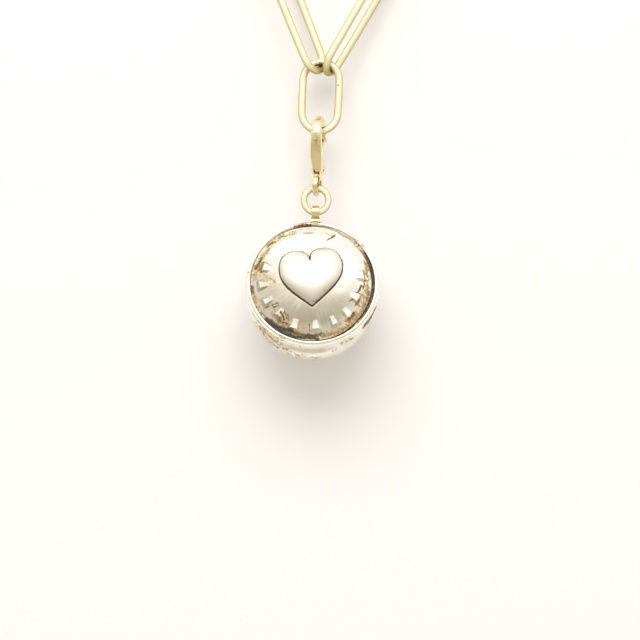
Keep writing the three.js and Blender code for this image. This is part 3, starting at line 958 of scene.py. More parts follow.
    def lever(self) -> None:
        """Sprung lever with its thumb tab."""
        x, y = self.rivet_at
        inner, r, floor = self.outer_radius - 0.95, self.outer_radius, self.window_floor
        outer = r - 0.175
        reach = math.hypot(self.tip_outer - x, self.tip - y) - self.latch_gap
        nose = [(px, y + math.sqrt(reach ** 2 - (px - x) ** 2))
                for px in (outer, outer - 0.3, inner + 0.2, inner)]
        tab = floor - 0.33
        inside = bezier(nose[-1], (inner, floor + 1.705), (inner * 0.75, floor + 0.55),
                        (x, y + self.lever_root), 18)
        root = arc(x, y, self.lever_root, self.lever_root, 90, 354, 26)
        under = bezier(root[-1], (inner * 0.9, y + 0.2), (inner, y + 0.3), (r, tab - 0.285), 10)
        thumb = [(r + 0.5, tab - 0.095), (r + 0.5, tab + 0.2375)]
        back = bezier((r + 0.4, tab + 0.27), (r + 0.05, tab + 0.3), (r * 0.985, floor + 0.5),
                      (r * 0.97, floor + 1.085), 8)
        sketch = Sketch()
        sketch.prism(np.vstack([nose[:-1], inside, root[1:], under[1:], thumb, back]),
                     -self.lever_thickness / 2, self.lever_thickness / 2)
        mesh = fused("clasp_thumb_lever", sketch, voxel=0.05, smoothing=3, cutters=(self.bore(),))
        dirt = stains((0.6, 0.6, (0.4, -4.9, 0)), (0.35, 0.5, (1.9, -1.6, 0)))
        finished("clasp_thumb_lever", mesh, self.place(), GOLD_CAST, Body.LEVER, "clasp_lever",
                 dirty(dirt, 0.12, 0.03))

    def rivet(self) -> None:
        """Rivet with hammered ends."""
        r, p = self.rivet_radius, self.rivet_proud
        half = self.depth(self.rivet_at[1]) / 2 + p
        side = [(0, half), (0.35 * r, half - 0.02), (0.7 * r, half - 0.2 * p), (0.92 * r, half - 0.45 * p),
                (r, half - 0.8 * p)]
        sketch = Sketch()
        sketch.turned(np.array([(a, -h) for a, h in side] + side[::-1]), 40, (*self.rivet_at, 0))
        finished("clasp_rivet", sketch.mesh("clasp_rivet"), self.place(), GOLD_CAST, Body.CLASP,
                 "lever_rivet", lambda points: np.clip((half - np.abs(points[:, 2])) * 4, 0, 0.55))

    def spring(self) -> None:
        """Bent leaf spring behind the lever's root."""
        left, leaf = -self.boss + 0.04, self.leaf
        low, high = self.rivet_at[1] + self.boss * 0.45, self.window_floor - 0.165
        foot = [(left, low), (left + leaf, low)]
        bent = [(left + leaf * across, high - leaf * down) for across, down in (
            (1.02, 1.5), (1.15, 1.1), (1.45, 1), (2.2, 1), (2.2, 0), (0.9, 0), (0.3, 0.25), (0, 1))]
        sketch = Sketch()
        sketch.prism(np.array(foot + bent), -self.leaf_width / 2, self.leaf_width / 2)
        finished("clasp_leaf_spring", sketch.mesh("clasp_leaf_spring"), self.place(), SPRING_STEEL,
                 Body.CLASP, "lever_spring", lambda points: 0.08 + 0.05 * ripples(points, 0.5))

    def build(self) -> None:
        """Builds and dresses the whole clasp."""
        self.body()
        self.lever()
        self.rivet()
        self.spring()


# ---- Ring and strap ----


@dataclass
class Hanger:
    """Jump ring and the strap that is folded over it and soldered to the ball."""

    ring_middle: float = -20.4833
    ring_radius: float = 1.81
    ring_wire: float = 0.93
    seam_angle: float = 58.0
    seam_width: float = 0.016
    seam_depth: float = 0.06
    bore: float = 0.646
    strip: float = 0.42
    width: float = 1.62
    band_width: float = 1.16
    neck: float = 0.95
    reach: float = 1.5
    lean: float = 6.6

    def ring(self) -> None:
        """Round ring with a butt joint."""
        seam = math.radians(self.seam_angle)
        fine = seam + np.array([-0.05, -0.02, -0.01, 0, 0.01, 0.02, 0.05])
        t = np.sort(np.concatenate([full_turn(96), fine]))
        thinner = self.seam_depth * np.exp(-((t - seam) / self.seam_width) ** 2)
        radius = (self.ring_wire / 2 * (1 - thinner))[:, None]
        a = full_turn(24)
        far = self.ring_radius + radius * np.cos(a)
        wire = np.stack([far * np.cos(t)[:, None], far * np.sin(t)[:, None], radius * np.sin(a)], axis=2)
        sketch = Sketch()
        sketch.grid(wire, close_rows=True)
        r = self.ring_radius - self.ring_wire / 2
        # The first row is a painted shadow of the clasp's eye on the ring's inside top.
        dirt = stains((0.22, 0.65, (-0.9, r - 0.45, 0), (0, r - 0.05, 0), (1.0, r - 0.5, 0)),
                      (0.12, 0.4, (-1.15, 0.5, 0), (-1.2, -0.4, 0)), (0.35, 0.5, (0, -r, 0)))
        place = axes((1, 0, 0), (0, 0, 1), (0, 0, self.ring_middle))
        finished("round_jump_ring", sketch.mesh("round_jump_ring"), place, GOLD_WIRE, Body.RING,
                 "jump_ring", dirty(dirt, 0.12, 0.04),
                 patina_and_shade=painted_side_shade(place, arc(0, 0, self.ring_radius, self.ring_radius, 0, 360, 181)))

    def strap(self) -> None:
        """Strip folded over the ring's bottom wire, its two legs pinched and soldered to the ball."""
        mean, leg = self.bore + self.strip / 2, (self.neck - self.strip) / 2
        start = math.degrees(math.asin(leg / mean))
        loop = arc(0, 0, mean, mean, -90 + start, 270 - start, 44)
        down = np.array([(leg + out, up - self.reach) for out, up in (
            (0.13, -0.08), (0.06, 0.06), (0.015, 0.2), (0, 0.34))])
        line = np.vstack([down, loop, (down * (-1, 1))[::-1]])
        along = np.gradient(line, axis=0)
        along /= np.linalg.norm(along, axis=1)[:, None]
        across, through = squared_circle(32, 0.35)
        rows = []
        for (y, z), (ahead, up) in zip(line, along):
            wide = self.band_width + (self.width - self.band_width) * smoothstep(-z, 0.3, 1.45)
            thick = self.strip / 2 * through
            rows.append(np.stack([wide / 2 * across, y + up * thick, z - ahead * thick], axis=1))
        sketch = Sketch()
        sketch.grid(np.array(rows), caps=True)
        t = full_turn(40)
        sketch.grid(np.stack([np.stack([r * 1.02 * np.cos(t), r * 0.86 * np.sin(t),
                                        np.full_like(t, h - self.reach - r * r / 20)], axis=1)
                              for r, h in ((0, 0.1), (0.62, 0.08), (0.8, 0.02), (0.9, -0.06), (0.93, -0.14),
                                           (0, -0.14))]))
        mesh = fused("strap_and_solder", sketch, voxel=0.05, smoothing=2)
        lean = math.radians(self.lean)
        place = axes((1, 0, 0), (0, math.cos(lean), -math.sin(lean)),
                     (0, 0, self.ring_middle - self.ring_radius))
        dirt = stains((0.2, 0.5, (-0.6, -0.6, -1.55), (0.6, -0.6, -1.5)), (0.3, 0.36, (0.35, -0.5, -1.0)),
                      (0.3, 0.5, (-0.6, 0.6, -1.5), (0.7, 0.6, -1.4)),
                      (0.12, 0.5, (-0.5, -0.9, 0.55), (0.5, -0.9, 0.6)))
        finished("folded_strap", mesh, place, GOLD_CAST, Body.BALL, "hanging_strap", dirty(dirt, 0.15, 0.05))

    def build(self) -> None:
        """Builds and dresses the ring and the strap."""
        self.ring()
        self.strap()


# ---- Ball ----


@dataclass(frozen=True)
class HeartShape:
    """The puffed heart in its own upright drawing."""

    width: float = 9.2
    height: float = 8.85
    notch: float = 1.65
    puff: float = 1.05
    wall: float = 0.12
    inset: float = 0.995
    turn: float = 6.2
    slant: float = 0.065
    bend: float = 0.25
    seat: tuple[float, float] = (0.03, 0.3)
    cell: float = 0.075
    columns: int = 240
    rounds: int = 420
    haste: float = 1.93

    def outline(self) -> np.ndarray:
        """Evenly spaced points round the heart, from its notch over the right lobe.

        Returns:
            An array of (x, y) rows.
        """
        h, t = self.width / 2, self.height / 2
        runs = [bezier((0, t - self.notch), (h * 0.06, t * 0.92), (h * 0.25, t), (h * 0.49, t), 60),
                bezier((h * 0.49, t), (h * 0.8, t), (h, t * 0.74), (h, t * 0.34), 60),
                bezier((h, t * 0.34), (h, -t * 0.22), (h * 0.42, -t * 0.62), (0, -t), 90)]
        right = np.vstack([run[:-1] for run in runs] + [[(0, -t)]])
        on_line, total = along_closed(np.vstack([right, right[-2:0:-1] * (-1, 1), right[:1]]))
        x, y = on_line(np.linspace(0, total, self.columns, endpoint=False)).T
        return np.stack([x - self.bend * (y / t) ** 2, y + self.slant * x], axis=1)

    def turned_outline(self) -> np.ndarray:
        """The outline as it sits on the plate."""
        c, s = math.cos(math.radians(self.turn)), math.sin(math.radians(self.turn))
        return self.outline() @ np.array([(c, s), (-s, c)]) + self.seat

    def swelling(self) -> Callable[[float, float], float]:
        """Swells a skin that is held along the outline.

        Returns:
            A function from a place (x, y) to the skin's height there, from 0 to 1.
        """
        line, cell = self.outline(), self.cell
        x0, y0 = line.min(0) - 2 * cell
        nx, ny = (int(v) for v in np.ceil((line.max(0) + 2 * cell - (x0, y0)) / cell))
        gx, gy = np.meshgrid(x0 + cell * np.arange(nx), y0 + cell * np.arange(ny), indexing="ij")
        inside = np.zeros(gx.shape, bool)
        for (ax, ay), (bx, by) in zip(line, np.roll(line, -1, axis=0)):
            if ay != by:
                inside ^= ((ay > gy) != (by > gy)) & (gx < (bx - ax) * (gy - ay) / (by - ay) + ax)
        skin = np.zeros(gx.shape)
        odd = (np.add.outer(np.arange(nx), np.arange(ny)) % 2).astype(bool)
        for _ in range(self.rounds):
            for turn in (inside & odd, inside & ~odd):
                around = np.zeros(gx.shape)
                around[1:-1, 1:-1] = (skin[2:, 1:-1] + skin[:-2, 1:-1] + skin[1:-1, 2:] + skin[1:-1, :-2]) / 4
                skin[turn] += self.haste * (around[turn] + 0.25 - skin[turn])
        swell = np.sqrt(skin / skin.max())

        def height(x: float, y: float) -> float:
            """Swelling at a place, read between the grid's points.

            Args:
                x: Place across the heart.
                y: Place up the heart.

            Returns:
                The height from 0 to 1.
            """
            (fx, i), (fy, j) = math.modf((x - x0) / cell), math.modf((y - y0) / cell)
            corners = swell[int(i):int(i) + 2, int(j):int(j) + 2]
            return np.array((1 - fx, fx)) @ corners @ np.array((1 - fy, fy))

        return height


CUP_STAINS_AND_REFLECTION = stains(
    # The first row is a painted reflection: a dark brown streak on the right, below the rim.
    (0.46, 0.95, (9.3, -3.1, 1.5), (8.7, -4.5, 1.5), (7.8, -5.95, 1.6)),
    (0.17, 0.5, (-0.5, -9.8, 2.0), (-4.3, -8.8, 2.0), (-6.6, -7.2, 2.0), (-8.5, -4.9, 2.0)),
    (0.7, 0.41, (-6.8, -7.2, 1.2), (-5.0, -8.6, 1.0), (-3.0, -9.5, 0.2), (-0.6, -9.9, -0.6),
     (1.2, -9.9, -0.7)),
    (0.8, 0.32, (-5.5, -8.3, 0.2), (-2.5, -9.5, -1.4), (0.5, -9.7, -2.3)),
    (0.9, 0.46, (-7.4, -6.6, 0.6), (-6.0, -7.9, 0.0), (-4.6, -8.8, -0.2)),
    (0.8, 0.28, (-8.2, -5.5, -0.5), (-6.5, -7.4, -1.5)), (0.9, 0.22, (3.5, -9.3, 0.8)),
    (0.6, 0.24, (6.0, -7.6, 1.2), (4.6, -8.6, 1.5)), (0.35, 0.6, (-2.9, 9.2, 2.0), (-1.2, 9.6, 2.0)),
    (0.5, 0.5, (-0.8, 9.9, -0.6), (0.9, 9.9, -0.4)), (1.3, 0.26, (3.0, -2.0, -9.2), (5.5, -1.0, -8.2)),
    (1.6, 0.25, (-6.0, 3.0, -7.2)))
RIM_DIRT = stains(
    (0.3, 0.5, (-2.9, 8.75), (-1.9, 9.05), (-0.7, 9.25)), (0.3, 0.35, (-9.3, 1.2), (-9.3, 0.2)),
    (0.2, 0.35, (5.6, 7.6), (7.2, 6.0)), (0.3, 0.3, (-4.4, -8.4), (-3.6, -8.8)))
PLATE_STAINS_AND_SHADE = stains(
    # upper left, from the middle of the top round to the left
    (0.6, 0.36, (-6.9, 4.6), (-6.3, 5.6), (-5.5, 6.5), (-4.4, 7.3), (-2.9, 7.8)),
    (0.3, 0.62, (-6.6, 5.6), (-5.9, 6.1)), (0.25, 0.6, (-5.2, 6.9), (-4.6, 7.1)),
    (0.3, 0.85, (-7.4, 3.4), (-7.9, 2.6), (-8.2, 1.9)), (0.4, 0.6, (-7.3, 2.6), (-7.8, 1.6)),
    (0.6, 0.42, (-7.0, 4.4), (-8.2, 2.0), (-8.5, 0.2)), (0.32, 0.8, (-8.6, -1.0), (-8.6, -1.9)),
    (0.2, 0.45, (-8.0, 1.9), (-6.8, 0.6), (-5.3, -0.5)), (0.7, 0.3, (-7.6, 0.6), (-6.4, -0.6)),
    # scratches and crust at the lower left
    (0.42, 0.42, (-8.6, -1.4), (-8.1, -3.4), (-7.2, -5.1), (-6.2, -6.2)),
    (0.09, 0.9, (-5.5, -3.9), (-4.6, -3.6)), (0.1, 0.95, (-5.4, -4.35), (-4.5, -3.95)),
    (0.1, 0.8, (-5.2, -4.8), (-5.55, -4.0)), (0.15, 1.1, (-4.3, -5.1), (-3.7, -6.2)),
    (0.12, 1.0, (-3.7, -5.0), (-3.3, -6.0)), (0.1, 0.8, (-3.25, -5.4), (-3.0, -6.2)),
    (0.2, 0.8, (-4.6, -5.6), (-4.0, -6.6)), (0.16, 0.9, (-4.2, -6.5), (-3.2, -6.7)),
    (0.4, 0.95, (-5.7, -6.3), (-4.87, -7.0), (-3.6, -7.5), (-2.6, -7.75)),
    (0.4, 0.55, (-4.8, -6.3), (-3.0, -7.0)), (0.25, 0.4, (-1.3, -7.3), (-0.6, -7.1)),
    (0.34, 1.9, (-6.4, -6.1), (-5.5, -6.9), (-4.2, -7.75), (-2.8, -8.3)),
    (0.22, 1.25, (-2.8, -8.3), (-1.2, -8.6), (1.2, -8.65)),
    (0.3, 0.8, (-2.3, -8.0), (-0.89, -8.2), (0.71, -8.25), (1.86, -8.0)),
    (0.22, 1.3, (-0.6, -8.3), (0.6, -8.3)),
    # golden band at the lower right
    (0.6, 0.46, (1.9, -8.2), (3.6, -7.8), (5.6, -6.6), (7.2, -4.9), (8.1, -3.2), (8.4, -1.0)),
    (0.8, 0.38, (5.2, -6.4), (6.4, -5.4), (7.3, -4.0), (7.8, -2.4), (8.0, -0.6)),
    (0.16, 0.7, (5.2, -5.9), (6.2, -5.0), (6.6, -4.3)), (0.18, 0.9, (6.9, -1.5), (7.3, -0.3)),
    (0.14, 0.7, (5.6, -2.9), (6.2, -2.5)), (0.5, 0.42, (8.0, -1.2), (8.2, 0.78), (7.9, 3.7)),
    (0.14, 0.75, (7.6, -0.8), (7.7, 0.6)), (0.3, 0.6, (6.6, -3.4), (7.1, -2.6)),
    # painted shade of a worn bump, and hair lines, at the upper right
    (0.16, 1.2, (2.6, 7.0), (2.95, 7.5)), (0.11, 0.75, (2.0, 6.5), (2.5, 6.95)),
    (0.12, 0.5, (2.9, 7.5), (3.3, 7.9)), (0.1, 0.65, (5.3, 7.25), (7.1, 5.4)),
    (0.1, 0.5, (3.6, 8.1), (4.9, 7.4)))
# Painted shade in the gap between the plate and the rim: strength by angle in degrees.
GUTTER_SHADE = np.array([
    (-180, 0.5), (-150, 0.6), (-120, 0.8), (-95, 0.9), (-60, 0.6), (-40, 0.45), (-25, 0.8), (-10, 1.0),
    (20, 1.0), (31, 0.7), (42, 0.3), (56, 0.14), (75, 0.1), (140, 0.14), (160, 0.4), (180, 0.5)])


@dataclass
class HeartBall:
    """Silver ball: a cup, a bezel rim, a domed plate with pressed bumps and a puffed heart.

    It is drawn about its centre with the face along z, u to the right and v up.
    """

    centre: tuple[float, float, float] = (0.0, -1.322, -33.717)
    tilt: float = 20.6
    radius: float = 10.0
    wall: float = 0.6
    mouth: float = 2.2
    film: float = 0.04
    rim_height: float = 0.76
    rim_wall: float = 0.42
    rim_crown: float = 0.17
    ledge_depth: float = 0.8
    ledge_width: float = 0.65
    ledge_thickness: float = 0.4
    plate_gap: float = 0.1
    plate_shift: float = 0.16
    plate_wall: float = 0.5
    plate_edge: float = 0.34
    dome_above_rim: float = 1.4
    bump_angles: tuple[int, ...] = (10, 31, 51, 72, 96, 119, 142, 164, 187, 208, 229, 253, 277, 300, 320, 341)
    bump_inner: float = 6.2
    bump_length: float = 1.55
    bump_width: float = 1.6
    bump_height: float = 0.44
    worn_from: int = 25
    worn_to: int = 158
    chase_width: float = 0.16
    chase_depth: float = 0.1
    cup_steps: int = 168
    rim_steps: int = 240
    plate_steps: int = 480
    heart: HeartShape = HeartShape()

    def __post_init__(self) -> None:
        """Works out the sizes that follow from the driving ones."""
        self.foot = self.mouth + self.film / 2
        self.rim_top = self.mouth + self.rim_height
        self.ledge_top = self.rim_top - self.ledge_depth
        self.rim_outer = math.sqrt(self.radius ** 2 - self.rim_top ** 2)
        self.rim_inner = self.rim_outer - self.rim_wall
        self.plate_radius = self.rim_inner - self.plate_gap - self.plate_shift
        self.knee = self.plate_radius - self.plate_edge / 2
        self.seat = self.ledge_top + self.film
        self.dome_top = self.rim_top + self.dome_above_rim
        rise = self.dome_top - self.seat - self.plate_edge
        self.dome_radius = (self.plate_radius ** 2 + rise ** 2) / (2 * rise)

    def place(self, aside: float = 0.0) -> Matrix:
        """Placement of the face's drawing.

        Args:
            aside: How far it is moved along u.

        Returns:
            The matrix from the drawing to the frame.
        """
        t = math.radians(self.tilt)
        place = axes((1, 0, 0), (0, math.sin(t), math.cos(t)), self.centre)
        return place @ Matrix.Translation((aside, 0, 0))

    def dome(self, aside: float) -> float:
        """Height of the plain dome at a distance from its middle."""
        return self.dome_top - fall(self.dome_radius, aside)

    def cup_stains_and_reflection(self, points: np.ndarray) -> np.ndarray:
        """Stain of the cup: its patches outside, a painted reflection on its right below the rim, and its
        dark inside.
        """
        inner = np.where(np.linalg.norm(points, axis=1) < self.radius - 0.3, 0.8, 0.0)
        return np.maximum(stained(CUP_STAINS_AND_REFLECTION, points), inner) + 0.05 + 0.09 * ripples(points, 2.2, 9.0)

    def cup_patina_and_painted_light(self, points: np.ndarray) -> np.ndarray:
        """Dull patches of the cup, thickest under the rim at the lower left, and painted lighter towards the
        bottom.

        Args:
            points: Places in the drawing, one a row.

        Returns:
            One value for each place.
        """
        # painted light: the patches are weakened towards the bottom so that it shows lighter
        below = between(-points[:, 1] - 0.4 * points[:, 2], 7.5, 10.0)
        left = np.exp(-((points - (-5.6, -7.9, 0.9)) ** 2).sum(1) / 9)
        patches = (0.3 + 0.7 * ripples(points, 2.6, 4.4)) * (1 - 0.8 * below)
        return patches + 1.1 * left * (0.7 + ripples(points, 1.1, 2.2))

    def cup(self) -> None:
        """Raised cup, a little uneven from the hammer, with a tarnished solder line at its lip."""
        inside = self.radius - self.wall
        walls = ((self.radius, np.linspace(0, math.acos(-self.foot / self.radius), 72)),
                 (inside, np.linspace(math.acos(-self.foot / inside), 0, 20)))
        sketch = Sketch()
        sketch.turned(np.array([(r * math.sin(a), -r * math.cos(a)) for r, angles in walls for a in angles]),
                      self.cup_steps)
        mesh = sketch.mesh("silver_cup")
        for v in mesh.vertices:
            x, y, z = v.co
            if v.co.length > self.radius - 0.1:
                sag = 0.05 * smoothstep(-y - 0.4 * z, 6.0, 10.8)
                dents = 0.0022 * (1 + ripple(x, y, z, 4.2, 1.7) + 0.5 * ripple(x, y, z, 1.7, 5.0))
                v.co *= 1 + smoothstep(self.mouth - z, 0.1, 2.0) * (sag - dents)
        finished("silver_cup", mesh, self.place(), SILVER_BODY, Body.BALL, "back_cup", self.cup_stains_and_reflection,
                 patina_and_shade=self.cup_patina_and_painted_light)

    def gutter(self, points: np.ndarray) -> np.ndarray:
        """Painted shade in the gutter inside the rim, by direction from the middle."""
        angle = np.degrees(np.arctan2(points[:, 1], points[:, 0]))
        return np.interp(angle, *GUTTER_SHADE.T) + 0.12 * ripples(points, 1.1, 6.0)

    def rim_stains_and_shade(self, points: np.ndarray) -> np.ndarray:
        """Stain of the rim: its spots, and the gutter's painted shade on its inner wall.

        Args:
            points: Places in the drawing, one a row.

        Returns:
            One value for each place.
        """
        far = np.hypot(points[:, 0], points[:, 1])
        # painted shade of the gutter on the rim's inner wall
        inside = (between(far, self.rim_inner + 0.14, self.rim_inner + 0.02)
                  * between(points[:, 2], self.rim_top - 0.06, self.rim_top - 0.26))
        return np.maximum(inside * self.gutter(points), stained(RIM_DIRT, points)) + 0.03

    def rim(self) -> None:
        """Thin stepped bezel with a rubbed bright crown, and painted shade in the gutter inside it."""
        foot, top, ledge = self.foot, self.rim_top, self.ledge_top
        outside = [(math.sqrt(self.radius ** 2 - h * h), h) for h in np.linspace(foot, top - 0.16, 6)]
        cup_in = math.sqrt((self.radius - self.wall) ** 2 - foot ** 2) - self.film
        crown = arc((self.rim_outer + self.rim_inner) / 2, top - self.rim_crown, self.rim_wall / 2,
                    self.rim_crown, 0, 180, 13)
        inside = [(self.rim_inner, h) for h in np.linspace(top - 0.25, ledge, 6)]
        low, inner = ledge - self.ledge_thickness, self.rim_inner - self.ledge_width
        under = [(inner, ledge), (inner, low), (cup_in, low), (cup_in, foot), outside[0]]
        sketch = Sketch()
        sketch.turned(np.vstack([outside, crown[1:], inside, under]), self.rim_steps)
        mesh = sketch.mesh("bezel_rim_ring")
        for v in mesh.vertices:
            if v.co.z > top - 0.4:
                x, y, _ = v.co
                v.co.z -= 0.05 * (0.5 + 0.5 * ripple(x, y, 0, 2.2, 4.0)) * smoothstep(v.co.z, top - 0.4, top)
        finished("bezel_rim_ring", mesh, self.place(), SILVER_RIM, Body.BALL, "bezel_rim", self.rim_stains_and_shade)

    def bump_rise(self, x: float, y: float) -> float:
        """Height of the pressed bumps above the dome.

        Args:
            x: Place across the plate.
            y: Place up the plate.

        Returns:
            The rise in millimetres.
        """
        far, angle = math.hypot(x, y), math.degrees(math.atan2(y, x))
        if not self.bump_inner - 0.2 < far < self.bump_inner + self.bump_length + 0.4:
            return 0.0
        best = 0.0
        for i, at in enumerate(self.bump_angles):
            off = math.radians((angle - at + 180) % 360 - 180)
            if abs(off) > 0.2:
                continue
            odd = math.sin(i * 2.4)
            start = self.bump_inner + 0.12 * odd
            share = (far * math.cos(off) - start) / (self.bump_length * (1 + 0.08 * odd))
            half = self.bump_width / 2 * (1 + 0.1 * math.cos(i * 1.7)) * (0.45 + 0.55 * min(share, 1.0))
            side = abs(far * math.sin(off) + 0.08 * odd) / half
            if not 0 < share < 1.25 or side > 1.25:
                continue
            worn = 0.3 if self.worn_from < at < self.worn_to else 0.85 + 0.15 * math.sin(i * 3.1)
            flat = 1 - smoothstep(side, 0.62, 1.22)
            end = 1 - smoothstep(share, 0.85, 1.15)
            best = max(best, worn * self.bump_height * (1 + 0.12 * odd) * min(share, 1.0) * flat * end)
        return best

    def bump_shadows(self) -> list[Stain]:
        """Painted shadows at the foot of each bump that isn't worn flat.

        Returns:
            One painted shadow for each bump.
        """
        feet = []
        for i, at in enumerate(self.bump_angles):
            if not self.worn_from <= at <= self.worn_to:
                turn = math.radians(at + 6.5 * (1 if i % 2 else -1))
                foot = [(far * math.cos(turn), far * math.sin(turn)) for far in (6.7, 7.7)]
                feet.append((0.1, 0.5 + 0.25 * math.sin(i * 2.2), *foot))
        return stains(*feet)

    def plate_rows(self) -> np.ndarray:
        """Rings of points from the plate's front over its edge to its back.

        Returns:
            An array of (ring, point, 3).
        """
        knee, seat, edge = self.knee, self.seat, self.dome(self.knee)
        t = full_turn(self.plate_steps)
        rows = []
        for r in np.concatenate([np.linspace(0, 3.0, 8, endpoint=False), np.linspace(3.0, knee, 80)]):
            ring = [(r * math.cos(a), r * math.sin(a)) for a in t]
            rows.append([(x, y, self.dome(r) + self.bump_rise(x, y) + 0.02 * ripple(x, y, 0, 2.4, 7.0))
                         for x, y in ring])
        spread = [self.plate_gap * 1.8 * smoothstep(abs(math.degrees(math.remainder(a, 2 * math.pi))), 35, 80)
                  for a in t]
        for r, z, part in ((knee + 0.06, edge - 0.02, 0.5), (knee + 0.13, edge - 0.07, 0.9),
                           (self.plate_radius, edge - 0.14, 1), (self.plate_radius, seat + 0.1, 1),
                           (self.plate_radius, seat, 1), (knee - 0.3, seat, 0)):
            rows.append([((r + part * s) * math.cos(a), (r + part * s) * math.sin(a), z)
                         for a, s in zip(t, spread)])
        for r in np.linspace(knee - 0.5, 0, 9):
            rows.append([(r * math.cos(a), r * math.sin(a), self.dome(r) - self.plate_wall) for a in t])
        return np.array(rows)

    def chase(self, mesh: bpy.types.Mesh) -> np.ndarray:
        """Chases a fine line into the plate round the heart.

        Args:
            mesh: The plate's mesh.

        Returns:
            Each point's distance from the heart's outline, or 9 where it is far from it.
        """
        line = self.heart.turned_outline()
        step = np.roll(line, -1, axis=0) - line
        gaps = np.full(len(mesh.vertices), 9.0)
        for v in mesh.vertices:
            far = math.hypot(v.co.x, v.co.y)
            if far < 6.2 and v.co.z > self.dome(min(far, self.knee)) - 0.2:
                away = np.array((v.co.x, v.co.y)) - line
                share = np.clip((away * step).sum(1) / (step ** 2).sum(1), 0, 1)[:, None]
                gap = float(np.sqrt(((away - share * step) ** 2).sum(1).min()))
                gaps[v.index] = gap
                v.co.z -= self.chase_depth * math.exp(-(gap / self.chase_width) ** 2)
        return gaps

    def plate_stains_and_shade(self, points: np.ndarray, gaps: np.ndarray) -> np.ndarray:
        """Stain of the plate: its patches, painted shadows beside the bumps, the chased line round the heart
        and painted shade in the gutter.

        Args:
            points: Places in the drawing, one a row.
            gaps: Their distances from the heart's outline.

        Returns:
            One value for each place.
        """
        x, y, z = points.T
        low = 1 + 0.5 * between(0.4 * x - y, -2, 3) + 0.8 * between(y, 1, 3)
        chased = 1.1 * np.exp(-(gaps / (0.11 * low)) ** 2)
        edge = (np.hypot(x, y) > self.knee - 0.02) & (z < self.dome(self.knee) - 0.12)
        # stains, with painted shadows beside the bumps and of a worn bump
        patches = stained(PLATE_STAINS_AND_SHADE + self.bump_shadows(), points, 0.16)
        return np.max([patches, chased, np.where(edge, self.gutter(points), 0)], axis=0) + 0.02

    def plate_painted_shade(self, points: np.ndarray) -> np.ndarray:
        """Painted shade of the plate, which grows downwards and is weaker near the edge.

        Args:
            points: Places in the drawing, one a row.

        Returns:
            One value for each place.
        """
        x, y, _ = points.T
        # painted shade: grows towards the bottom and eases off near the edge
        near_rim = between(np.hypot(x, y), 6.4, 8.0) * np.clip(0.55 + x / 8, 0.3, 0.7)
        return between(y + 0.35 * x, 3.7, -2.3) * (1 - near_rim) * (1 + 0.3 * ripples(points, 1.6, 8.0))

    @staticmethod
    def brushed(points: np.ndarray) -> np.ndarray:
        """Places in a space whose third axis runs outwards from the plate's middle."""
        far = np.maximum(np.hypot(points[:, 0], points[:, 1]), 1e-6)
        return np.stack([2 * points[:, 0] / far, 2 * points[:, 1] / far, far], axis=1)

    def plate(self) -> None:
        """Domed plate with its bumps, brushed from the heart outwards, with painted shade in its gutter."""
        sketch = Sketch()
        sketch.grid(self.plate_rows())
        mesh = sketch.mesh("domed_plate")
        gaps = self.chase(mesh)
        finished("domed_plate", mesh, self.place(-self.plate_shift), SILVER_FACE, Body.BALL, "face_plate",
                 lambda points: self.plate_stains_and_shade(points, gaps), self.brushed, self.plate_painted_shade, 55)

    def above_plate(self, points: np.ndarray) -> np.ndarray:
        """Height of each place above the plate's dome."""
        drop = self.dome_radius - np.sqrt(self.dome_radius ** 2 - (points[:, :2] ** 2).sum(1))
        return points[:, 2] - self.dome_top + drop - self.film

    def heart_dirt(self, points: np.ndarray) -> np.ndarray:
        """Stain of the heart: its dark foot, its notch and a few nicks.

        Args:
            points: Places in the heart's drawing, one a row.

        Returns:
            One value for each place.
        """
        dip = self.heart.height / 2 - self.heart.notch
        nicks = stains((0.15, 1.0, (-0.12, dip + 0.35), (-0.1, dip - 0.35)),
                       (0.2, 0.3, (-0.2, -3.9), (0.4, -3.7)), (0.3, 0.24, (1.6, -2.4)))
        wall = 0.95 * between(self.above_plate(points), 0.26, 0.12)
        return np.maximum(wall, stained(nicks, points, 0.08)) + 0.02

    def heart_painted_shade(self, points: np.ndarray) -> np.ndarray:
        """Painted shade on the heart's flanks, stronger at its lower left."""
        # painted shade where the heart curves down to the plate, and more on its lower left
        low = between(points[:, 1] + 0.3 * points[:, 0], 1, -4)
        return between(self.above_plate(points), 0.95, 0.2) ** 2 * (0.5 + 0.4 * low) + 0.12 * low

    def puffed_heart(self) -> None:
        """Heart with a smooth swollen top and a narrow wall down to the plate."""
        shape, core = self.heart, np.array((0.0, -0.3))
        line, height = shape.outline(), shape.swelling()
        rows = []
        for share in 1 - (1 - np.linspace(0, 1, 46)) ** 1.9:
            ring = core + (line - core) * share * shape.inset
            rows.append([(x, y, self.dome(math.hypot(x, y)) + self.film + shape.wall
                          + (shape.puff - shape.wall - self.film) * height(x, y)) for x, y in ring])
        for share, proud in ((shape.inset, shape.wall / 2), (0.98, 0.0), (0.6, 0.0), (0.0, 0.0)):
            rows.append([(x, y, self.dome(math.hypot(x, y)) + self.film + proud)
                         for x, y in core + (line - core) * share])
        sketch = Sketch()
        sketch.grid(np.array(rows))
        place = self.place(-self.plate_shift) @ Matrix.Translation((*shape.seat, 0))
        finished("puffed_heart", sketch.mesh("puffed_heart"),
                 place @ Matrix.Rotation(math.radians(shape.turn), 4, "Z"), SILVER_HEART, Body.BALL,
                 "heart", self.heart_dirt, patina_and_shade=self.heart_painted_shade, crease=50)

    def build(self) -> None:
        """Builds and dresses the ball."""
        self.cup()
        self.rim()
        self.plate()
        self.puffed_heart()


# ---- Studio ----


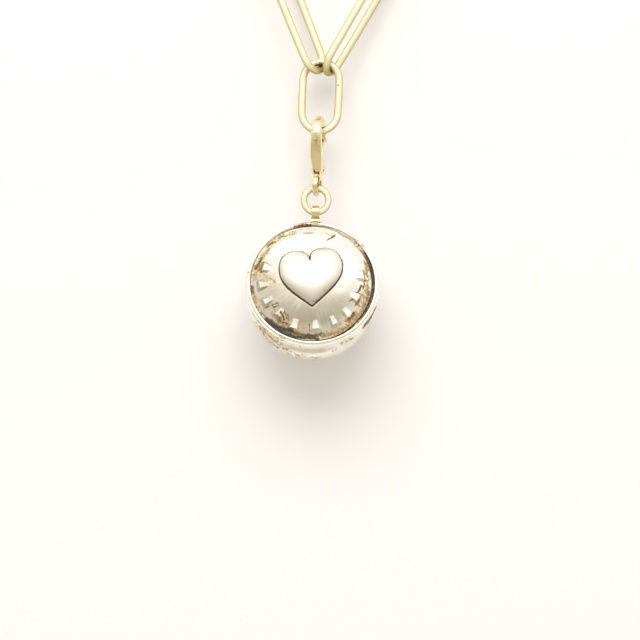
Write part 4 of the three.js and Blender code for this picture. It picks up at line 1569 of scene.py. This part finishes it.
@dataclass
class Studio:
    """White card close behind the pendant, a large soft lamp overhead and a level camera."""

    middle: tuple[float, float] = (1.32, -38.16)
    shown: float = 94.72
    roll: float = 2.4
    lens: float = 135.0
    sensor: float = 36.0
    card_gap: float = 0.08
    card_lean: float = 6.0
    card_size: float = 900.0
    card_white: Colour = (0.72, 0.705, 0.715)
    card_glow: float = 0.14
    glow_colour: Colour = (1, 0.99, 0.97)
    lamp_reach: float = 620.0
    lamp_aside: float = -6.0
    lamp_aim: tuple[float, float, float] = (0, 0, -30)
    lamp_colour: Colour = (1, 0.985, 0.96)
    room_strength: float = 1.22
    backdrop: Colour = (1, 0.998, 0.99)

    def camera(self) -> None:
        """Level camera in front, rolled a little as the photograph is."""
        data = bpy.data.cameras.new("camera")
        data.lens, data.sensor_width = self.lens, self.sensor
        data.clip_start, data.clip_end = 0.01, 20
        camera = shown("camera", data)
        reach, roll = self.shown / 2 / (self.sensor / 2 / self.lens), math.radians(self.roll)
        camera.matrix_world = axes((math.cos(roll), 0, math.sin(roll)), (-math.sin(roll), 0, math.cos(roll)),
                                   Vector((self.middle[0], -reach, self.middle[1])) * MM)
        bpy.context.scene.camera = camera

    def card(self) -> None:
        """White card that catches the shadow and can be seen from its front alone."""
        half = self.card_size / 2 * MM
        mesh = bpy.data.meshes.new("white_card")
        mesh.from_pydata([(-half, 0, -half), (half, 0, -half), (half, 0, half), (-half, 0, half)], [],
                         [(0, 1, 2, 3)])
        card = shown("white_card", mesh)
        ball, lean = HeartBall(), math.radians(self.card_lean)
        away = Vector((0, math.cos(lean), math.sin(lean)))
        card.location = (Vector(ball.centre) + (ball.radius + self.card_gap) * away) * MM
        card.rotation_euler = (lean, 0, 0)
        paper = bpy.data.materials.new("white_card")
        paper.use_nodes = True
        bench = Bench(paper.node_tree)
        matt = bench.node("BsdfDiffuse", {"Color": (*self.card_white, 1)})
        rays = bench.node("LightPath").outputs
        seen = bench.sum("MAXIMUM", rays["Is Camera Ray"], rays["Is Glossy Ray"])
        glow = bench.node("Emission", {"Color": (*self.glow_colour, 1),
                                       "Strength": bench.sum("MULTIPLY", seen, self.card_glow)})
        face = bench.node("AddShader", {0: matt.outputs[0], 1: glow.outputs[0]})
        behind = bench.node("NewGeometry").outputs["Backfacing"]
        both = bench.pick(behind, face, bench.node("BsdfTransparent"))
        bench.node("OutputMaterial", {"Surface": both.outputs[0]})
        mesh.materials.append(paper)

    def lamp(self, name: str, size: tuple[float, float], rise: float, power: float, mirrored: bool) -> None:
        """Soft lamp in front and above.

        Args:
            name: Name of the lamp.
            size: Width and height in millimetres.
            rise: Its height above the pendant in degrees.
            power: Its power in watts.
            mirrored: Whether polished metal shows it.
        """
        data = bpy.data.lights.new(name, "AREA")
        data.shape, data.energy, data.color = "RECTANGLE", power, self.lamp_colour
        data.size, data.size_y = (s * MM for s in size)
        lamp = shown(name, data)
        lamp.visible_glossy = mirrored
        rise, aside = math.radians(rise), math.radians(self.lamp_aside)
        away = Vector((math.sin(aside) * math.cos(rise), -math.cos(aside) * math.cos(rise), math.sin(rise)))
        lamp.location = (Vector(self.lamp_aim) + away * self.lamp_reach) * MM
        lamp.rotation_mode = "QUATERNION"
        lamp.rotation_quaternion = (-away).to_track_quat("-Z", "Y")

    def room(self) -> None:
        """White room with a dimmer warm band in front, where the camera stands."""
        world = bpy.data.worlds.new("studio_room")
        bpy.context.scene.world = world
        world.use_nodes = True
        bench = Bench(world.node_tree)
        way = bench.node("SeparateXYZ", {0: bench.node("TexCoord").outputs["Generated"]}).outputs
        level = bench.sum("MULTIPLY_ADD", way["Z"], 0.5, 0.5)
        ahead = bench.ramp(
            level, (0.0, (0.55, 0.50, 0.41)), (0.165, (0.62, 0.58, 0.47)), (0.30, (0.50, 0.45, 0.36)),
            (0.42, (0.48, 0.44, 0.36)), (0.50, (0.58, 0.54, 0.45)), (0.58, (0.70, 0.66, 0.57)),
            (0.655, (0.86, 0.84, 0.79)), (0.75, (0.92, 0.92, 0.90)), (1.0, (0.92, 0.92, 0.92)))
        aside = bench.ramp(
            level, (0.0, (0.55, 0.50, 0.41)), (0.30, (0.52, 0.47, 0.38)), (0.50, (0.60, 0.55, 0.47)),
            (0.70, (0.70, 0.66, 0.59)), (0.83, (0.86, 0.87, 0.86)), (1.0, (0.92, 0.92, 0.92)))
        colour = bench.mix(bench.span(way["Y"], -0.55, 0.0, 1.0, 0.0), aside, ahead)
        lit = bench.node("Background", {"Color": colour, "Strength": self.room_strength})
        plain = bench.node("Background", {"Color": (*self.backdrop, 1), "Strength": 1.0})
        both = bench.pick(bench.node("LightPath").outputs["Is Camera Ray"], lit, plain)
        bench.node("OutputWorld", {"Surface": both.outputs[0]})

    def build(self) -> None:
        """Sets up the whole studio."""
        bpy.context.scene.view_settings.view_transform = "Standard"
        self.camera()
        self.card()
        self.lamp("overhead_softbox", size=(600.0, 380.0), rise=44.0, power=0.9, mirrored=True)
        self.lamp("shadow_lamp", size=(440.0, 300.0), rise=36.0, power=2.2, mirrored=False)
        self.room()


def main() -> None:
    """Builds the studio and the pendant."""
    logging.basicConfig(level=logging.INFO, format="%(message)s")
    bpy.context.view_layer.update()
    Studio().build()
    Chain().build()
    LobsterClasp().build()
    Hanger().build()
    HeartBall().build()


if __name__ == "__main__":
    main()
